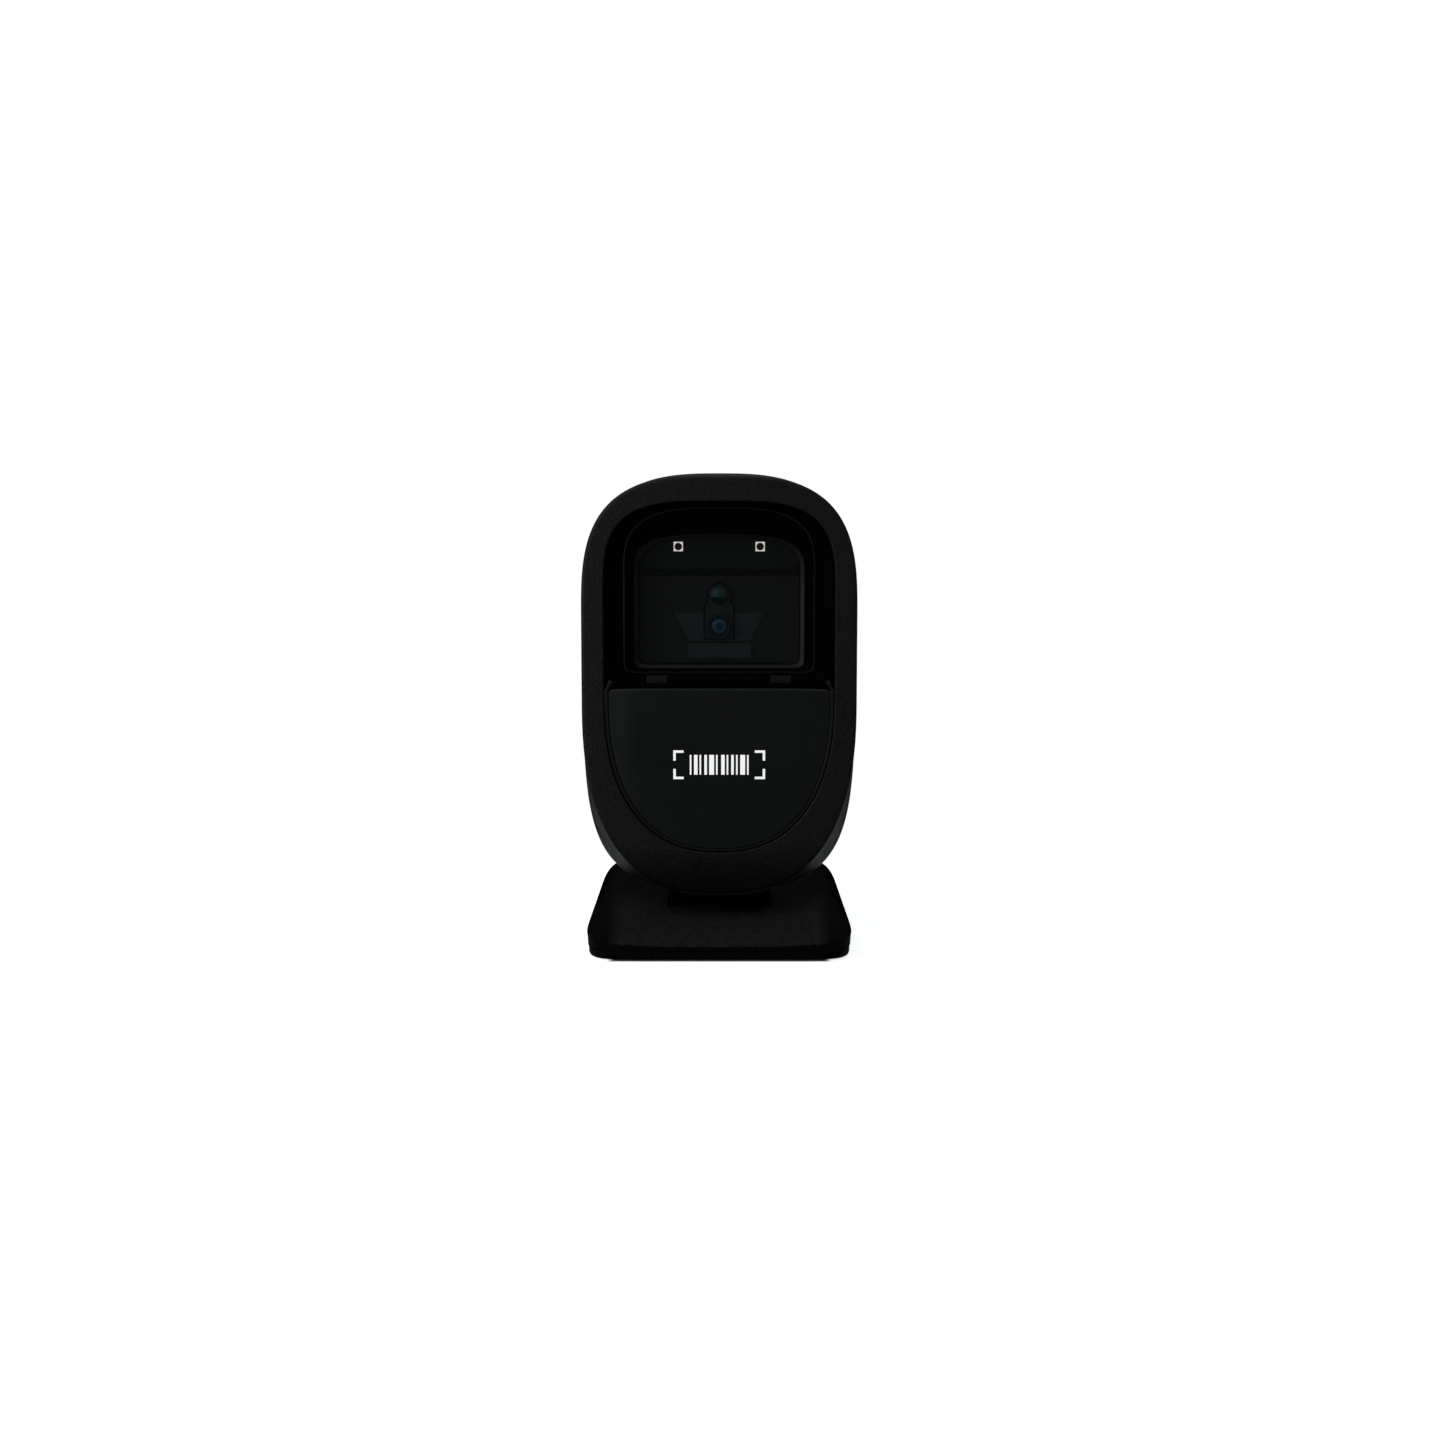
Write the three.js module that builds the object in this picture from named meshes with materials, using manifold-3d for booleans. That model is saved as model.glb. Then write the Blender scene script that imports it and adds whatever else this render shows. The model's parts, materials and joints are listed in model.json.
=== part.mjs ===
// Compact hands-free barcode scanner: an upright imaging head that tilts on a low weighted base.
// Millimetres. +Z is up, the scan window faces -Y and +X is on the right as one faces it.
// The origin is on the counter, under the middle of the object.
import * as THREE from "three";
import { mergeVertices } from "three/addons/utils/BufferGeometryUtils.js";
import Module from "manifold-3d";

const wasm = await Module();
wasm.setup();

// ---- Driving dimensions ----
const GAP = 0.3; // air between pieces that touch
const WALL = 2.2; // moulded wall

// Head: a pebble whose flat face is in the plane FACE_Y. Depths are measured back from that plane.
const FACE_Y = -24;
const HEAD = { halfWidth: 42.5, top: 147.7, chin: 16.7, topArch: 43.6, chinArch: 61 };
const HEAD_POWER = { topFront: 3.1, topBack: 2.9, chinFront: 2.45, chinBack: 3.75, settled: 18 };
const SPLIT = 10; // depth where the front bezel meets the rear housing
const DOME_START = 14;
const DOME_REACH = 36; // depth over which the back would close completely
const DOME_POWER = 2.4;
const DOME_ANGLE = 1.159; // the dome stops here, in a flat back
const CHIN_ROLL = { from: 33, drop: 15, back: 4.6 }; // the face bends back towards the chin

// Opening of the front bezel: an arch over a U.
const OPENING = { a: 35.6, zHigh: 109.9, bHigh: 30, nHigh: 3.5, zLow: 78.8, bLow: 48, nLow: 2.35 };
const FRAME = { a: 35.2, top: 139.5, bHigh: 29.6, nHigh: 3.5, bottom: 83, nLow: 16 };
const FRAME_SIDE = 109.9; // height where the frame's lower corners start
const LIP_CORNER = 25; // power of the tight lower corners of its lips
const PANEL_TOP = 82.3;
const PIPE_WIDTH = 0.9;

// Hinge of the head on the base, along X.
const HINGE = { y: 4, z: 31, shaft: 2.5, bore: 2.58, half: 23.6, clip: 22.6 };
const NECK_HALF = 16;
const EAR = { inner: 19, outer: 21.8 };

// Base: a rounded block, wider in front, hollow underneath.
const BASE = { halfDepth: 41.5, halfWidth: 39.9, taper: 0.045, corner: 9, bottom: 3.6 };
const BASE_TOP = { lip: 4.9, crest: 33 }; // height of its front edge, and half the width between its crests
const BASE_ROUND = 9; // width of the rounded border of its top
const PLATE = { bottom: 0.4, top: 3.3, inset: 0.5 };
const FOOT = { low: 0.3, rib: 1.6, chamfer: 0.2, seat: 0.8 }; // a pad between two ribs, in a shallow seat
const FRONT_FOOT = { from: 6.4, to: 19.7, y0: -37.4, y1: -30 };
const REAR_FOOT = { from: 9, to: 24, y0: 30, y1: 37 };

// Optics: heights above the counter, and depths behind the face.
const PANE = { front: 12.7, back: 14.2 };
const CHASSIS = { half: 26.5, bottom: 87.8, top: 115.4, front: 18.3, back: 33 };
const RECESS = { top: 113.9, halfTop: 20.2, bottom: 94.7, halfBottom: 10.2, floor: 19.5 };
const TRAY = { top: 103.9, halfTop: 14.45, bottom: 95, halfBottom: 9.85, front: 18.4, back: 19.2 };
const CAMERA = { half: 4.4, bottom: 95.8, shoulder: 105.6, neck: 107.4, cap: 3.4, front: 17.6, back: 32.7 };
const LENS = { z: 99.9, radius: 2.7, barrel: 3.9 };
const AIMER_Z = 109.5;
const LED = { x: 12.8, z: 124.8, size: 2.9, front: 16.7, back: 17.7, well: 1.2 };

// Trigger on the back of the head and the cable socket under it.
const TRIGGER = { z: 104, halfLength: 12, halfHeight: 6.2 };
const SOCKET = { z: 49.8, halfWidth: 5.9, halfHeight: 3.3, back: 35.7, front: 24 };
const SPEAKER = { z: 78, radius: 10 };

// Plain blocks inside the head: half the width, front and back depths, bottom and top.
const BLOCKS = {
  skirt: [10, 17, 18, 89.7, 94.4],
  imagerBoard: [17, 33.3, 34.9, 89.5, 114],
  illuminationBoard: [25.4, 18, 19.6, 117.8, 128.6],
  mainBoard: [24, 14, 15.6, 30, 79],
  indicatorLamp: [2, 12.7, 13.7, 30.4, 33],
  shieldCan: [13, 15.9, 18.3, 57.5, 76],
  insideOfCan: [12.5, 15, 17.8, 58, 75.5],
  flexConnector: [6, 15.9, 17.4, 77, 78.9],
  socketBoard: [11, 18, 19.6, 41, 57],
  boardConnector: [7, 15.9, 17.7, 45, 50],
  jack: [7.6, 19.9, 35.7, 43.4, 56],
  triggerBoard: [13, 36.6, 38.2, 96, 112],
  triggerSwitch: [2.9, 38.5, 40, 101.1, 106.9],
};

// Fasteners: [x, z] on the head and [x, y] under the base.
const HOUSING_SCREWS = {
  right_low: [29.5, 50],
  right_high: [31, 76],
  left_low: [-29.5, 50],
  left_high: [-31, 76],
};
const BASE_SCREWS = {
  right_front: [31, -6],
  right_rear: [29, 30],
  left_front: [-31, -6],
  left_rear: [-29, 30],
};
const NECK_SCREWS = { right: [21, 7], left: [-21, 7] };
const SCREW_SEAT = 22; // depth of the housing screws' seats

const HALF_RING = 21; // points on each half of a head outline
const BASE_POINTS = 48;

// ---- Solids ----
function solidFrom(positions, triangles) {
  const build = (order) =>
    new wasm.Manifold(
      new wasm.Mesh({
        numProp: 3,
        vertProperties: new Float32Array(positions),
        triVerts: new Uint32Array(order),
      }),
    );
  const made = build(triangles);
  if (made.volume() > 0) return made;
  const turned = [];
  for (let i = 0; i < triangles.length; i += 3) {
    turned.push(triangles[i], triangles[i + 2], triangles[i + 1]);
  }
  return build(turned);
}

function solidOf(geometry) {
  const bare = geometry.clone();
  bare.deleteAttribute("normal");
  bare.deleteAttribute("uv");
  const merged = mergeVertices(bare, 1e-4);
  return solidFrom(merged.attributes.position.array, merged.index.array);
}

function meshOf(name, solid, material) {
  const mesh = solid.getMesh();
  const geometry = new THREE.BufferGeometry();
  geometry.setAttribute("position", new THREE.BufferAttribute(mesh.vertProperties, 3));
  geometry.setIndex(new THREE.BufferAttribute(mesh.triVerts, 1));
  const made = new THREE.Mesh(geometry, material);
  made.name = name;
  return made;
}

const join = (first, ...rest) => rest.reduce((sum, next) => sum.add(next), first);
const cut = (first, ...rest) => rest.reduce((left, next) => left.subtract(next), first);

// A box between two corners.
function box([x0, y0, z0], [x1, y1, z1]) {
  const g = new THREE.BoxGeometry(x1 - x0, y1 - y0, z1 - z0);
  return solidOf(g.translate((x0 + x1) / 2, (y0 + y1) / 2, (z0 + z1) / 2));
}

// One of the plain blocks, centred across the head.
function block(name) {
  const [half, front, back, bottom, top] = BLOCKS[name];
  return box([-half, FACE_Y + front, bottom], [half, FACE_Y + back, top]);
}

// A solid of revolution. The profile is [radius, distance along the axis], and the axis starts at a point.
function turned(profile, axis, at, segments = 20) {
  const g = new THREE.LatheGeometry(
    profile.map(([r, h]) => new THREE.Vector2(r, h)),
    segments,
  );
  if (axis === "z") g.rotateX(Math.PI / 2);
  if (axis === "-z") g.rotateX(-Math.PI / 2);
  if (axis === "x") g.rotateZ(-Math.PI / 2);
  if (axis === "-y") g.rotateX(Math.PI);
  return solidOf(g.translate(...at));
}

// A plain round bar from one coordinate to another along an axis.
function bar(radius, axis, from, to, at, segments = 20) {
  const profile = [[0, from], [radius, from], [radius, to], [0, to]];
  return turned(profile, axis, at, segments);
}

// Rings of points, skinned one to the next. The ends are closed with strips, or joined if hoop is true.
function skin(rings, hoop = false) {
  const n = rings[0].length;
  const triangles = [];
  const quad = (a, b, c, d) => triangles.push(a, b, c, a, c, d);
  const last = hoop ? rings.length : rings.length - 1;
  for (let r = 0; r < last; r++) {
    const a = r * n;
    const b = ((r + 1) % rings.length) * n;
    for (let i = 0; i < n; i++) {
      const j = (i + 1) % n;
      quad(a + i, a + j, b + j, b + i);
    }
  }
  if (!hoop) {
    const end = (rings.length - 1) * n;
    for (let i = 0; i < n / 2 - 1; i++) {
      quad(i, n - 1 - i, n - 2 - i, i + 1);
      quad(end + i, end + i + 1, end + n - 2 - i, end + n - 1 - i);
    }
  }
  return solidFrom(rings.flat(2), triangles);
}

// A sheet with two faces: front(s, t) and back(s, t) give points for s and t from 0 to 1.
function slab(front, back, acrossCount, alongCount) {
  const rings = [];
  for (let i = 0; i <= alongCount; i++) {
    const t = i / alongCount;
    const ring = [];
    for (let j = 0; j <= acrossCount; j++) ring.push(front(j / acrossCount, t));
    for (let j = acrossCount; j >= 0; j--) ring.push(back(j / acrossCount, t));
    rings.push(ring);
  }
  return skin(rings);
}

// A flat outline in X and Z, extruded from one depth back to another.
function extruded(points, from, to) {
  const shape = new THREE.Shape(points.map(([x, z]) => new THREE.Vector2(x, z)));
  const g = new THREE.ExtrudeGeometry(shape, { depth: to - from, bevelEnabled: false });
  return solidOf(g.rotateX(Math.PI / 2).translate(0, FACE_Y + to, 0));
}

// ---- Outlines ----
const clamp = (v, low, high) => Math.min(high, Math.max(low, v));
const mix = (a, b, t) => a + (b - a) * t;
const side = (v, power) => Math.sign(v) * Math.abs(v) ** power;

// A closed outline in X and Z: half a superellipse on top, straight sides, and another half below.
function outline(o, count = HALF_RING) {
  const points = [];
  for (let i = 0; i < 2 * count; i++) {
    const upper = i < count;
    const angle = (Math.PI * (upper ? i : i - count)) / (count - 1);
    const power = 2 / (upper ? o.nHigh : o.nLow);
    const x = o.a * side(Math.cos(angle), power) * (upper ? 1 : -1);
    const rise = Math.abs(Math.sin(angle)) ** power;
    points.push([x, upper ? o.zHigh + o.bHigh * rise : o.zLow - o.bLow * rise]);
  }
  return points;
}

const inset = (o, d) => ({ ...o, a: o.a - d, bHigh: o.bHigh - d, bLow: o.bLow - d });
const ringAt = (points, depth) => points.map(([x, z]) => [x, FACE_Y + depth, z]);
const arch = (a, top, bHigh, nHigh, bottom, bLow, nLow) => ({
  a, nHigh, nLow, bHigh, bLow, zHigh: top - bHigh, zLow: bottom + bLow,
});

// The head's outline at a depth, before the dome of the back shrinks it.
function headOutline(depth, wall = 0) {
  const grown = clamp(depth / HEAD_POWER.settled, 0, 1);
  const blend = grown * grown * (3 - 2 * grown);
  return {
    a: HEAD.halfWidth - wall,
    zHigh: HEAD.top - HEAD.topArch,
    bHigh: HEAD.topArch - wall,
    nHigh: mix(HEAD_POWER.topFront, HEAD_POWER.topBack, blend),
    zLow: HEAD.chin + HEAD.chinArch,
    bLow: HEAD.chinArch - wall,
    nLow: mix(HEAD_POWER.chinFront, HEAD_POWER.chinBack, blend),
  };
}

// The same outline on the dome, where angle runs from 0 at DOME_START to a right angle at its end.
function domeOutline(angle, wall) {
  const reach = Math.sin(angle) ** (2 / DOME_POWER);
  const size = Math.cos(angle) ** (2 / DOME_POWER);
  const depth = DOME_START + (DOME_REACH - wall) * reach;
  const middle = 82 + 10 * reach;
  const o = headOutline(depth, wall);
  const shrink = (z) => middle + size * (z - middle);
  const shrunk = { ...o, a: size * o.a, bHigh: size * o.bHigh, bLow: size * o.bLow };
  return { depth, shape: { ...shrunk, zHigh: shrink(o.zHigh), zLow: shrink(o.zLow) } };
}

// How far the face has bent back at a height near the chin.
const chinBend = (z) => CHIN_ROLL.back * (Math.max(0, CHIN_ROLL.from - z) / CHIN_ROLL.drop) ** 2;

// ---- Materials ----
const finish = (color, roughness, metalness = 0) =>
  new THREE.MeshStandardMaterial({ color, roughness, metalness });
const materials = {
  texturedBlack: finish(0x161616, 0.62),
  glossBlack: finish(0x0b0c0c, 0.18),
  window: finish(0x101214, 0.08),
  rubber: finish(0x141414, 0.85),
  darkPlastic: finish(0x1c1f1e, 0.5),
  greyPlastic: finish(0x4a4f50, 0.5),
  board: finish(0x0d1411, 0.4),
  component: finish(0x101010, 0.5),
  lensGlass: finish(0x16324a, 0.05),
  ledWhite: finish(0xf2f2ee, 0.5),
  ledDome: finish(0x3a0a12, 0.1),
  lightPipe: finish(0x1a1d1c, 0.25),
  steel: finish(0x8f9294, 0.35, 1),
  gold: finish(0xc79a3c, 0.3, 1),
  bronze: finish(0x8a6a3a, 0.4, 1),
};

// ---- Head: casing ----
// The matte rim round the face, with the wall behind it and the carrier of the lower panel.
function frontBezel() {
  const rim = (depth, wall) => ringAt(outline(headOutline(depth, wall)), depth);
  const bent = (ring) => ring.map(([x, y, z]) => [x, y + chinBend(z), z]);
  const edge = outline(inset(OPENING, -0.4));
  const faceEdge = outline(headOutline(0, 0.9));
  const between = (t) => edge.map(([x, z], i) => [mix(x, faceEdge[i][0], t), mix(z, faceEdge[i][1], t)]);
  const ring = skin(
    [
      rim(SPLIT - GAP, 0),
      rim(6, 0),
      bent(rim(0.9, 0)),
      bent(ringAt(faceEdge, 0)),
      bent(ringAt(between(0.66), 0)),
      bent(ringAt(between(0.33), 0)),
      ringAt(edge, 0),
      ringAt(outline(OPENING), 0.5),
      ringAt(outline(OPENING), 2.6),
      ringAt(outline(inset(OPENING, -3.4)), 2.6),
      ringAt(outline(headOutline(7, WALL)), 7),
      ringAt(outline(headOutline(SPLIT, WALL)), SPLIT - GAP),
    ],
    true,
  );
  const carrierOutline = outline(inset(OPENING, -1.6), 16).filter(([, z]) => z < PANEL_TOP - 1.5);
  let bezel = ring.add(extruded(carrierOutline, 2.45, 4.4));
  for (const [x, z] of Object.values(HOUSING_SCREWS)) {
    const start = FACE_Y + (z < 60 ? 2.3 : 4.2);
    bezel = bezel.add(bar(3, "y", start, FACE_Y + 12, [x, 0, z], 14));
  }
  for (const [x, z] of Object.values(HOUSING_SCREWS)) {
    bezel = bezel.subtract(bar(1.35, "y", FACE_Y + 5.4, FACE_Y + 13, [x, 0, z], 10));
  }
  const pipeSlot = box([-3, FACE_Y + 2, 29.6], [3, FACE_Y + 6, 34.2]);
  return bezel.subtract(pipeSlot);
}

// Gloss black funnel round the scan window, clipped in behind the rim.
function windowFrame() {
  const outer = (d) => {
    const { a, top, bHigh, nHigh, bottom, nLow } = FRAME;
    return outline(inset(arch(a, top, bHigh, nHigh, bottom, FRAME_SIDE - bottom, nLow), d));
  };
  const lip = (bHigh, nHigh) => (a, top, bottom) =>
    outline(arch(a, top, bHigh, nHigh, bottom, FRAME_SIDE - bottom, LIP_CORNER));
  const [ridge, inner] = [lip(19.3, 3), lip(12.2, 3.2)];
  const frame = skin(
    [
      ringAt(outer(0), 1.2),
      ringAt(ridge(30.2, 138.3, 85.8), 6.7),
      ringAt(ridge(29.9, 138, 86.1), 6.3),
      ringAt(ridge(29.3, 137.4, 86.6), 6.4),
      ringAt(ridge(29, 137.1, 86.8), 7.4),
      ringAt(inner(26.8, 129.4, 87.1), 10.5),
      ringAt(inner(26.4, 129, 87.4), 10.2),
      ringAt(inner(25.3, 128, 88.3), 10.9),
      ringAt(inner(25, 127.8, 88.5), 12.4),
      ringAt(ridge(31.6, 138.6, 83.6), 12.4),
      ringAt(outer(-1), 4.6),
      ringAt(outer(-2), 4.4),
      ringAt(outer(-2), 2.9),
      ringAt(outer(0), 2.9),
    ],
    true,
  );
  // Raised pads on the sill over the snap catches.
  const pad = (from, to, height) =>
    extruded([[from, 83.6], [to, 83.6], [to, 86.4], [from, 86.4]], 2.6, 6.4)
      .intersect(box([from - 1, FACE_Y, 80], [to + 1, FACE_Y + 6.2, 84.2 + height]));
  return join(frame, pad(15.9, 22.4, 1.6), pad(-22.4, -15.9, 1.6), pad(-13, 13, 1.1));
}

const windowOutline = (d) => outline(inset(arch(28.6, 131, 14, 3.4, 85.2, 7, 4), d), 12);

function scanWindow() {
  return skin([ringAt(windowOutline(0), PANE.front), ringAt(windowOutline(0), PANE.back)]);
}

function windowGasket() {
  const [outerEdge, innerEdge] = [windowOutline(0.3), windowOutline(2.4)];
  const [front, back] = [PANE.back + GAP, PANE.back + 1.8];
  const rings = [
    ringAt(outerEdge, front),
    ringAt(outerEdge, back),
    ringAt(innerEdge, back),
    ringAt(innerEdge, front),
  ];
  return skin(rings, true);
}

// Half the width of the U of the opening at a height, less an inset.
function halfWidthAt(z, d) {
  const low = OPENING.zLow;
  if (z >= low) return OPENING.a - d;
  const share = clamp((low - z) / (OPENING.bLow - d), 0, 1);
  return (OPENING.a - d) * (1 - share ** OPENING.nLow) ** (1 / OPENING.nLow);
}

// Height of the window frame's lower front edge.
const frameSill = (x) => {
  const fall = (1 - (Math.abs(x) / FRAME.a) ** FRAME.nLow) ** (1 / FRAME.nLow);
  return mix(FRAME_SIDE, FRAME.bottom, fall);
};

// Lower cover: a gloss panel whose sides curve back, with small horns under the frame's round corners.
function frontPanel() {
  const d = GAP + PIPE_WIDTH + GAP;
  const bottom = OPENING.zLow - OPENING.bLow + d;
  const point = (s, t, thick) => {
    const fall = Math.sin((Math.PI / 2) * t); // rows crowd where the U closes
    const z = mix(PANEL_TOP, bottom + 0.02, fall);
    const x = halfWidthAt(z, d) * Math.sin(Math.PI * (s - 0.5)); // columns crowd at the sides
    const share = Math.abs(x) / (OPENING.a - d);
    const horn = t === 0 ? Math.min(2.4, frameSill(x) - FRAME.bottom) : 0;
    const bow = -0.7 + 1.15 * share ** 4;
    return [x, FACE_Y + (thick ? 2.1 : bow), z + horn];
  };
  return slab((s, t) => point(s, t, false), (s, t) => point(s, t, true), 14, 12);
}

// Status light pipe: a U-shaped strip round the panel, with a leg back to its lamp.
function lightPipe() {
  const edge = (d, t) => {
    const angle = Math.PI * t;
    const power = 2 / OPENING.nLow;
    const x = (OPENING.a - d) * side(Math.cos(angle), power);
    return [x, OPENING.zLow - (OPENING.bLow - d) * Math.sin(angle) ** power];
  };
  const rise = PANEL_TOP - OPENING.zLow;
  const strip = (depth) => (s, t) => {
    const [x, z] = edge(GAP + PIPE_WIDTH * s, clamp((t * 44 - 1) / 42, 0, 1));
    return [x, FACE_Y + depth, t === 0 || t === 1 ? z + rise : z];
  };
  const leg = box([-2, FACE_Y + 1, 31.2], [2, FACE_Y + 12.4, 31.9]);
  return slab(strip(0.15), strip(2.1), 1, 44).add(leg);
}

// The shell behind the bezel, with hinge ears, a cable pocket, screw wells and an opening for the trigger.
function rearHousing() {
  const shell = (wall, front, steps) => {
    const rings = [ringAt(outline(headOutline(front, wall)), front)];
    for (let i = 0; i <= steps; i++) {
      const { depth, shape } = domeOutline((DOME_ANGLE * i) / steps, wall);
      rings.push(ringAt(outline(shape), depth));
    }
    return rings;
  };
  const outerRings = shell(0, SPLIT, 9);
  const tail = domeOutline(DOME_ANGLE, 0);
  outerRings.push(ringAt(outline(inset(tail.shape, 1.4)), tail.depth + 0.5));
  const outer = skin(outerRings);
  const inside = skin(shell(WALL, SPLIT - 1, 6));
  let housing = outer.subtract(inside);

  // Hinge ears: ribs on the floor of the shell, each side of the neck.
  for (const s of [-1, 1]) {
    const [x0, x1] = s > 0 ? [EAR.inner, EAR.outer] : [-EAR.outer, -EAR.inner];
    const ear = box([x0, HINGE.y - 8.5, 12], [x1, HINGE.y + 8.5, HINGE.z])
      .add(bar(8.5, "x", x0, x1, [0, HINGE.y, HINGE.z], 24));
    housing = housing.add(ear.intersect(outer));
  }
  const room = EAR.inner - 0.05; // for the washers and the bushes' flanges
  const through = EAR.outer + 1.4; // past the retaining rings
  housing = housing
    .subtract(bar(4.2, "x", -through, through, [0, HINGE.y, HINGE.z], 24))
    .subtract(bar(5.7, "x", -room, room, [0, HINGE.y, HINGE.z], 24));

  // Pocket that the cable's plug enters, with the socket's port in its floor.
  const pocket = (grow, floor) =>
    box([-9 - grow, FACE_Y + floor, 41.6 - grow], [9 + grow, FACE_Y + 52, 58 + grow]);
  housing = housing.add(pocket(1.8, 34.2).intersect(outer)).subtract(pocket(0, 36));
  housing = housing.subtract(box([-7.9, FACE_Y + 30, 43.1], [7.9, FACE_Y + 40, 56.3]));

  // Screw bosses and the wells that lead to them.
  for (const [x, z] of Object.values(HOUSING_SCREWS)) {
    housing = housing.add(bar(4.4, "y", FACE_Y + 12.3, FACE_Y + 34, [x, 0, z], 16).intersect(outer));
  }
  for (const [x, z] of Object.values(HOUSING_SCREWS)) {
    housing = housing
      .subtract(bar(1.35, "y", FACE_Y + 12, FACE_Y + 24, [x, 0, z], 10))
      .subtract(bar(2.9, "y", FACE_Y + SCREW_SEAT, FACE_Y + 50, [x, 0, z], 16));
  }

  // Trigger opening, sound slots, and the slot for the neck in the underside.
  const slots = [-2, -1, 0, 1, 2].map((i) => {
    const half = 7 - Math.abs(i);
    const z = SPEAKER.z + 2.6 * i;
    return box([-half, FACE_Y + 43, z - 0.6], [half, FACE_Y + 50, z + 0.6]);
  });
  const neckSlot = box([-17.6, FACE_Y + 14.6, 10], [17.6, FACE_Y + 40.5, 37.5]);
  return cut(housing, stadium(GAP, 42, 52), ...slots, neckSlot);
}

// The trigger's outline, grown or shrunk, between two depths.
function stadium(grow, from, to) {
  const r = TRIGGER.halfHeight + grow;
  const straight = TRIGGER.halfLength - TRIGGER.halfHeight;
  const steps = 10;
  const points = [];
  for (const end of [1, -1]) {
    for (let i = 0; i <= steps; i++) {
      const angle = (Math.PI * i) / steps;
      points.push([end * (straight + r * Math.sin(angle)), TRIGGER.z + end * r * Math.cos(angle)]);
    }
  }
  return extruded(points, from, to);
}

// ---- Head: trigger ----
function triggerButton() {
  const flange = stadium(1.6, 43.8, 45);
  const body = stadium(0, 44.8, 48.2);
  const crown = stadium(-1, 48, 48.9);
  const stem = bar(1.6, "y", FACE_Y + 41.8, FACE_Y + 44, [0, 0, TRIGGER.z], 12);
  return join(flange, body, crown, stem);
}

// Compression spring round the trigger's stem.
function triggerSpring() {
  const [turns, radius, wireRadius] = [3, 4.6, 0.28];
  const [start, end] = [39, 43.3];
  const steps = turns * 10;
  const points = Array.from({ length: steps + 1 }, (_, i) => {
    const angle = (2 * Math.PI * turns * i) / steps;
    const y = FACE_Y + mix(start, end, i / steps);
    return new THREE.Vector3(radius * Math.cos(angle), y, TRIGGER.z + radius * Math.sin(angle));
  });
  const corners = Array.from({ length: 5 }, (_, i) => {
    const angle = (2 * Math.PI * i) / 5;
    return new THREE.Vector2(wireRadius * Math.cos(angle), wireRadius * Math.sin(angle));
  });
  const extrudePath = new THREE.CatmullRomCurve3(points);
  const options = { steps, extrudePath, bevelEnabled: false };
  return solidOf(new THREE.ExtrudeGeometry(new THREE.Shape(corners), options));
}

function triggerSwitch() {
  return block("triggerSwitch").add(bar(1.3, "y", FACE_Y + 39.8, FACE_Y + 40.5, [0, 0, TRIGGER.z], 12));
}

// ---- Head: optics and electronics ----
// Trapezoid in X and Z with rounded lower corners.
function trapezoid({ top, halfTop, bottom, halfBottom }) {
  const [round, steps] = [2.4, 5];
  const points = [[halfTop, top], [-halfTop, top]];
  const corner = (sign, i) => {
    const angle = ((Math.PI / 2) * i) / steps;
    const x = halfBottom + round * (Math.cos(angle) - 0.6);
    points.push([sign * x, bottom + round * (1 - Math.sin(angle))]);
  };
  for (let i = 0; i <= steps; i++) corner(-1, i);
  for (let i = steps; i >= 0; i--) corner(1, i);
  return points;
}

// The camera's outline: straight sides, shoulders, and a round cap about the aiming light.
function cameraOutline(grow) {
  const half = CAMERA.half + grow;
  const cap = CAMERA.cap + grow;
  const [low, shoulder] = [CAMERA.bottom - grow, CAMERA.shoulder + grow];
  const points = [[-half, low], [half, low], [half, shoulder], [cap, CAMERA.neck]];
  const steps = 8;
  for (let i = 0; i <= steps; i++) {
    const angle = (Math.PI * i) / steps;
    points.push([cap * Math.cos(angle), AIMER_Z + cap * Math.sin(angle)]);
  }
  return [...points, [-cap, CAMERA.neck], [-half, shoulder]];
}

// Carrier behind the window, with a shallow recess for the tray and a hole for the camera.
function opticsChassis() {
  const { half, bottom, top, front, back } = CHASSIS;
  const carrier = box([-half, FACE_Y + front, bottom], [half, FACE_Y + back, top]);
  const recess = extruded(trapezoid(RECESS), front - 1, RECESS.floor);
  return cut(carrier, recess, extruded(cameraOutline(0.5), front, back + 1));
}

// Pale tray round the camera.
function imagerTray() {
  return extruded(trapezoid(TRAY), TRAY.front, TRAY.back).subtract(extruded(cameraOutline(0.5), 17, 21));
}

const imagerBody = () => extruded(cameraOutline(0), CAMERA.front, CAMERA.back);

// Short threaded barrel with a well for the lens.
function lensBarrel() {
  const [well, outside] = [LENS.radius + 0.25, LENS.barrel];
  const inside = [[0, 0.6], [well, 0.6], [well + 0.15, 2.1]];
  const profile = [...inside, [outside, 2.1], [outside, 0.5], [outside - 0.2, 0], [0, 0]];
  return turned(profile, "-y", [0, FACE_Y + CAMERA.front - GAP, LENS.z], 24);
}

// A round cap that bulges forward from a depth.
function dome(radius, rise, x, depth, z) {
  const profile = [[0, 0], [radius, 0]];
  for (let i = 1; i < 5; i++) {
    const angle = ((Math.PI / 2) * i) / 5;
    profile.push([radius * Math.cos(angle), rise * Math.sin(angle)]);
  }
  profile.push([0, rise]);
  return turned(profile, "-y", [x, FACE_Y + depth, z], 14);
}

const lensElement = () => dome(LENS.radius, 0.9, 0, CAMERA.front - 1.2, LENS.z);
const aimerLens = () => dome(2.9, 1.9, 0, CAMERA.front - GAP, AIMER_Z);

function ledPackage(x) {
  const h = LED.size / 2;
  const front = FACE_Y + LED.front;
  const body = box([x - h, front, LED.z - h], [x + h, FACE_Y + LED.back, LED.z + h]);
  return body.subtract(bar(LED.well, "y", front - 1, front + 0.4, [x, 0, LED.z], 16));
}

const ledDome = (x) => dome(LED.well - 0.1, 0.6, x, LED.front + 0.2, LED.z);

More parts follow.
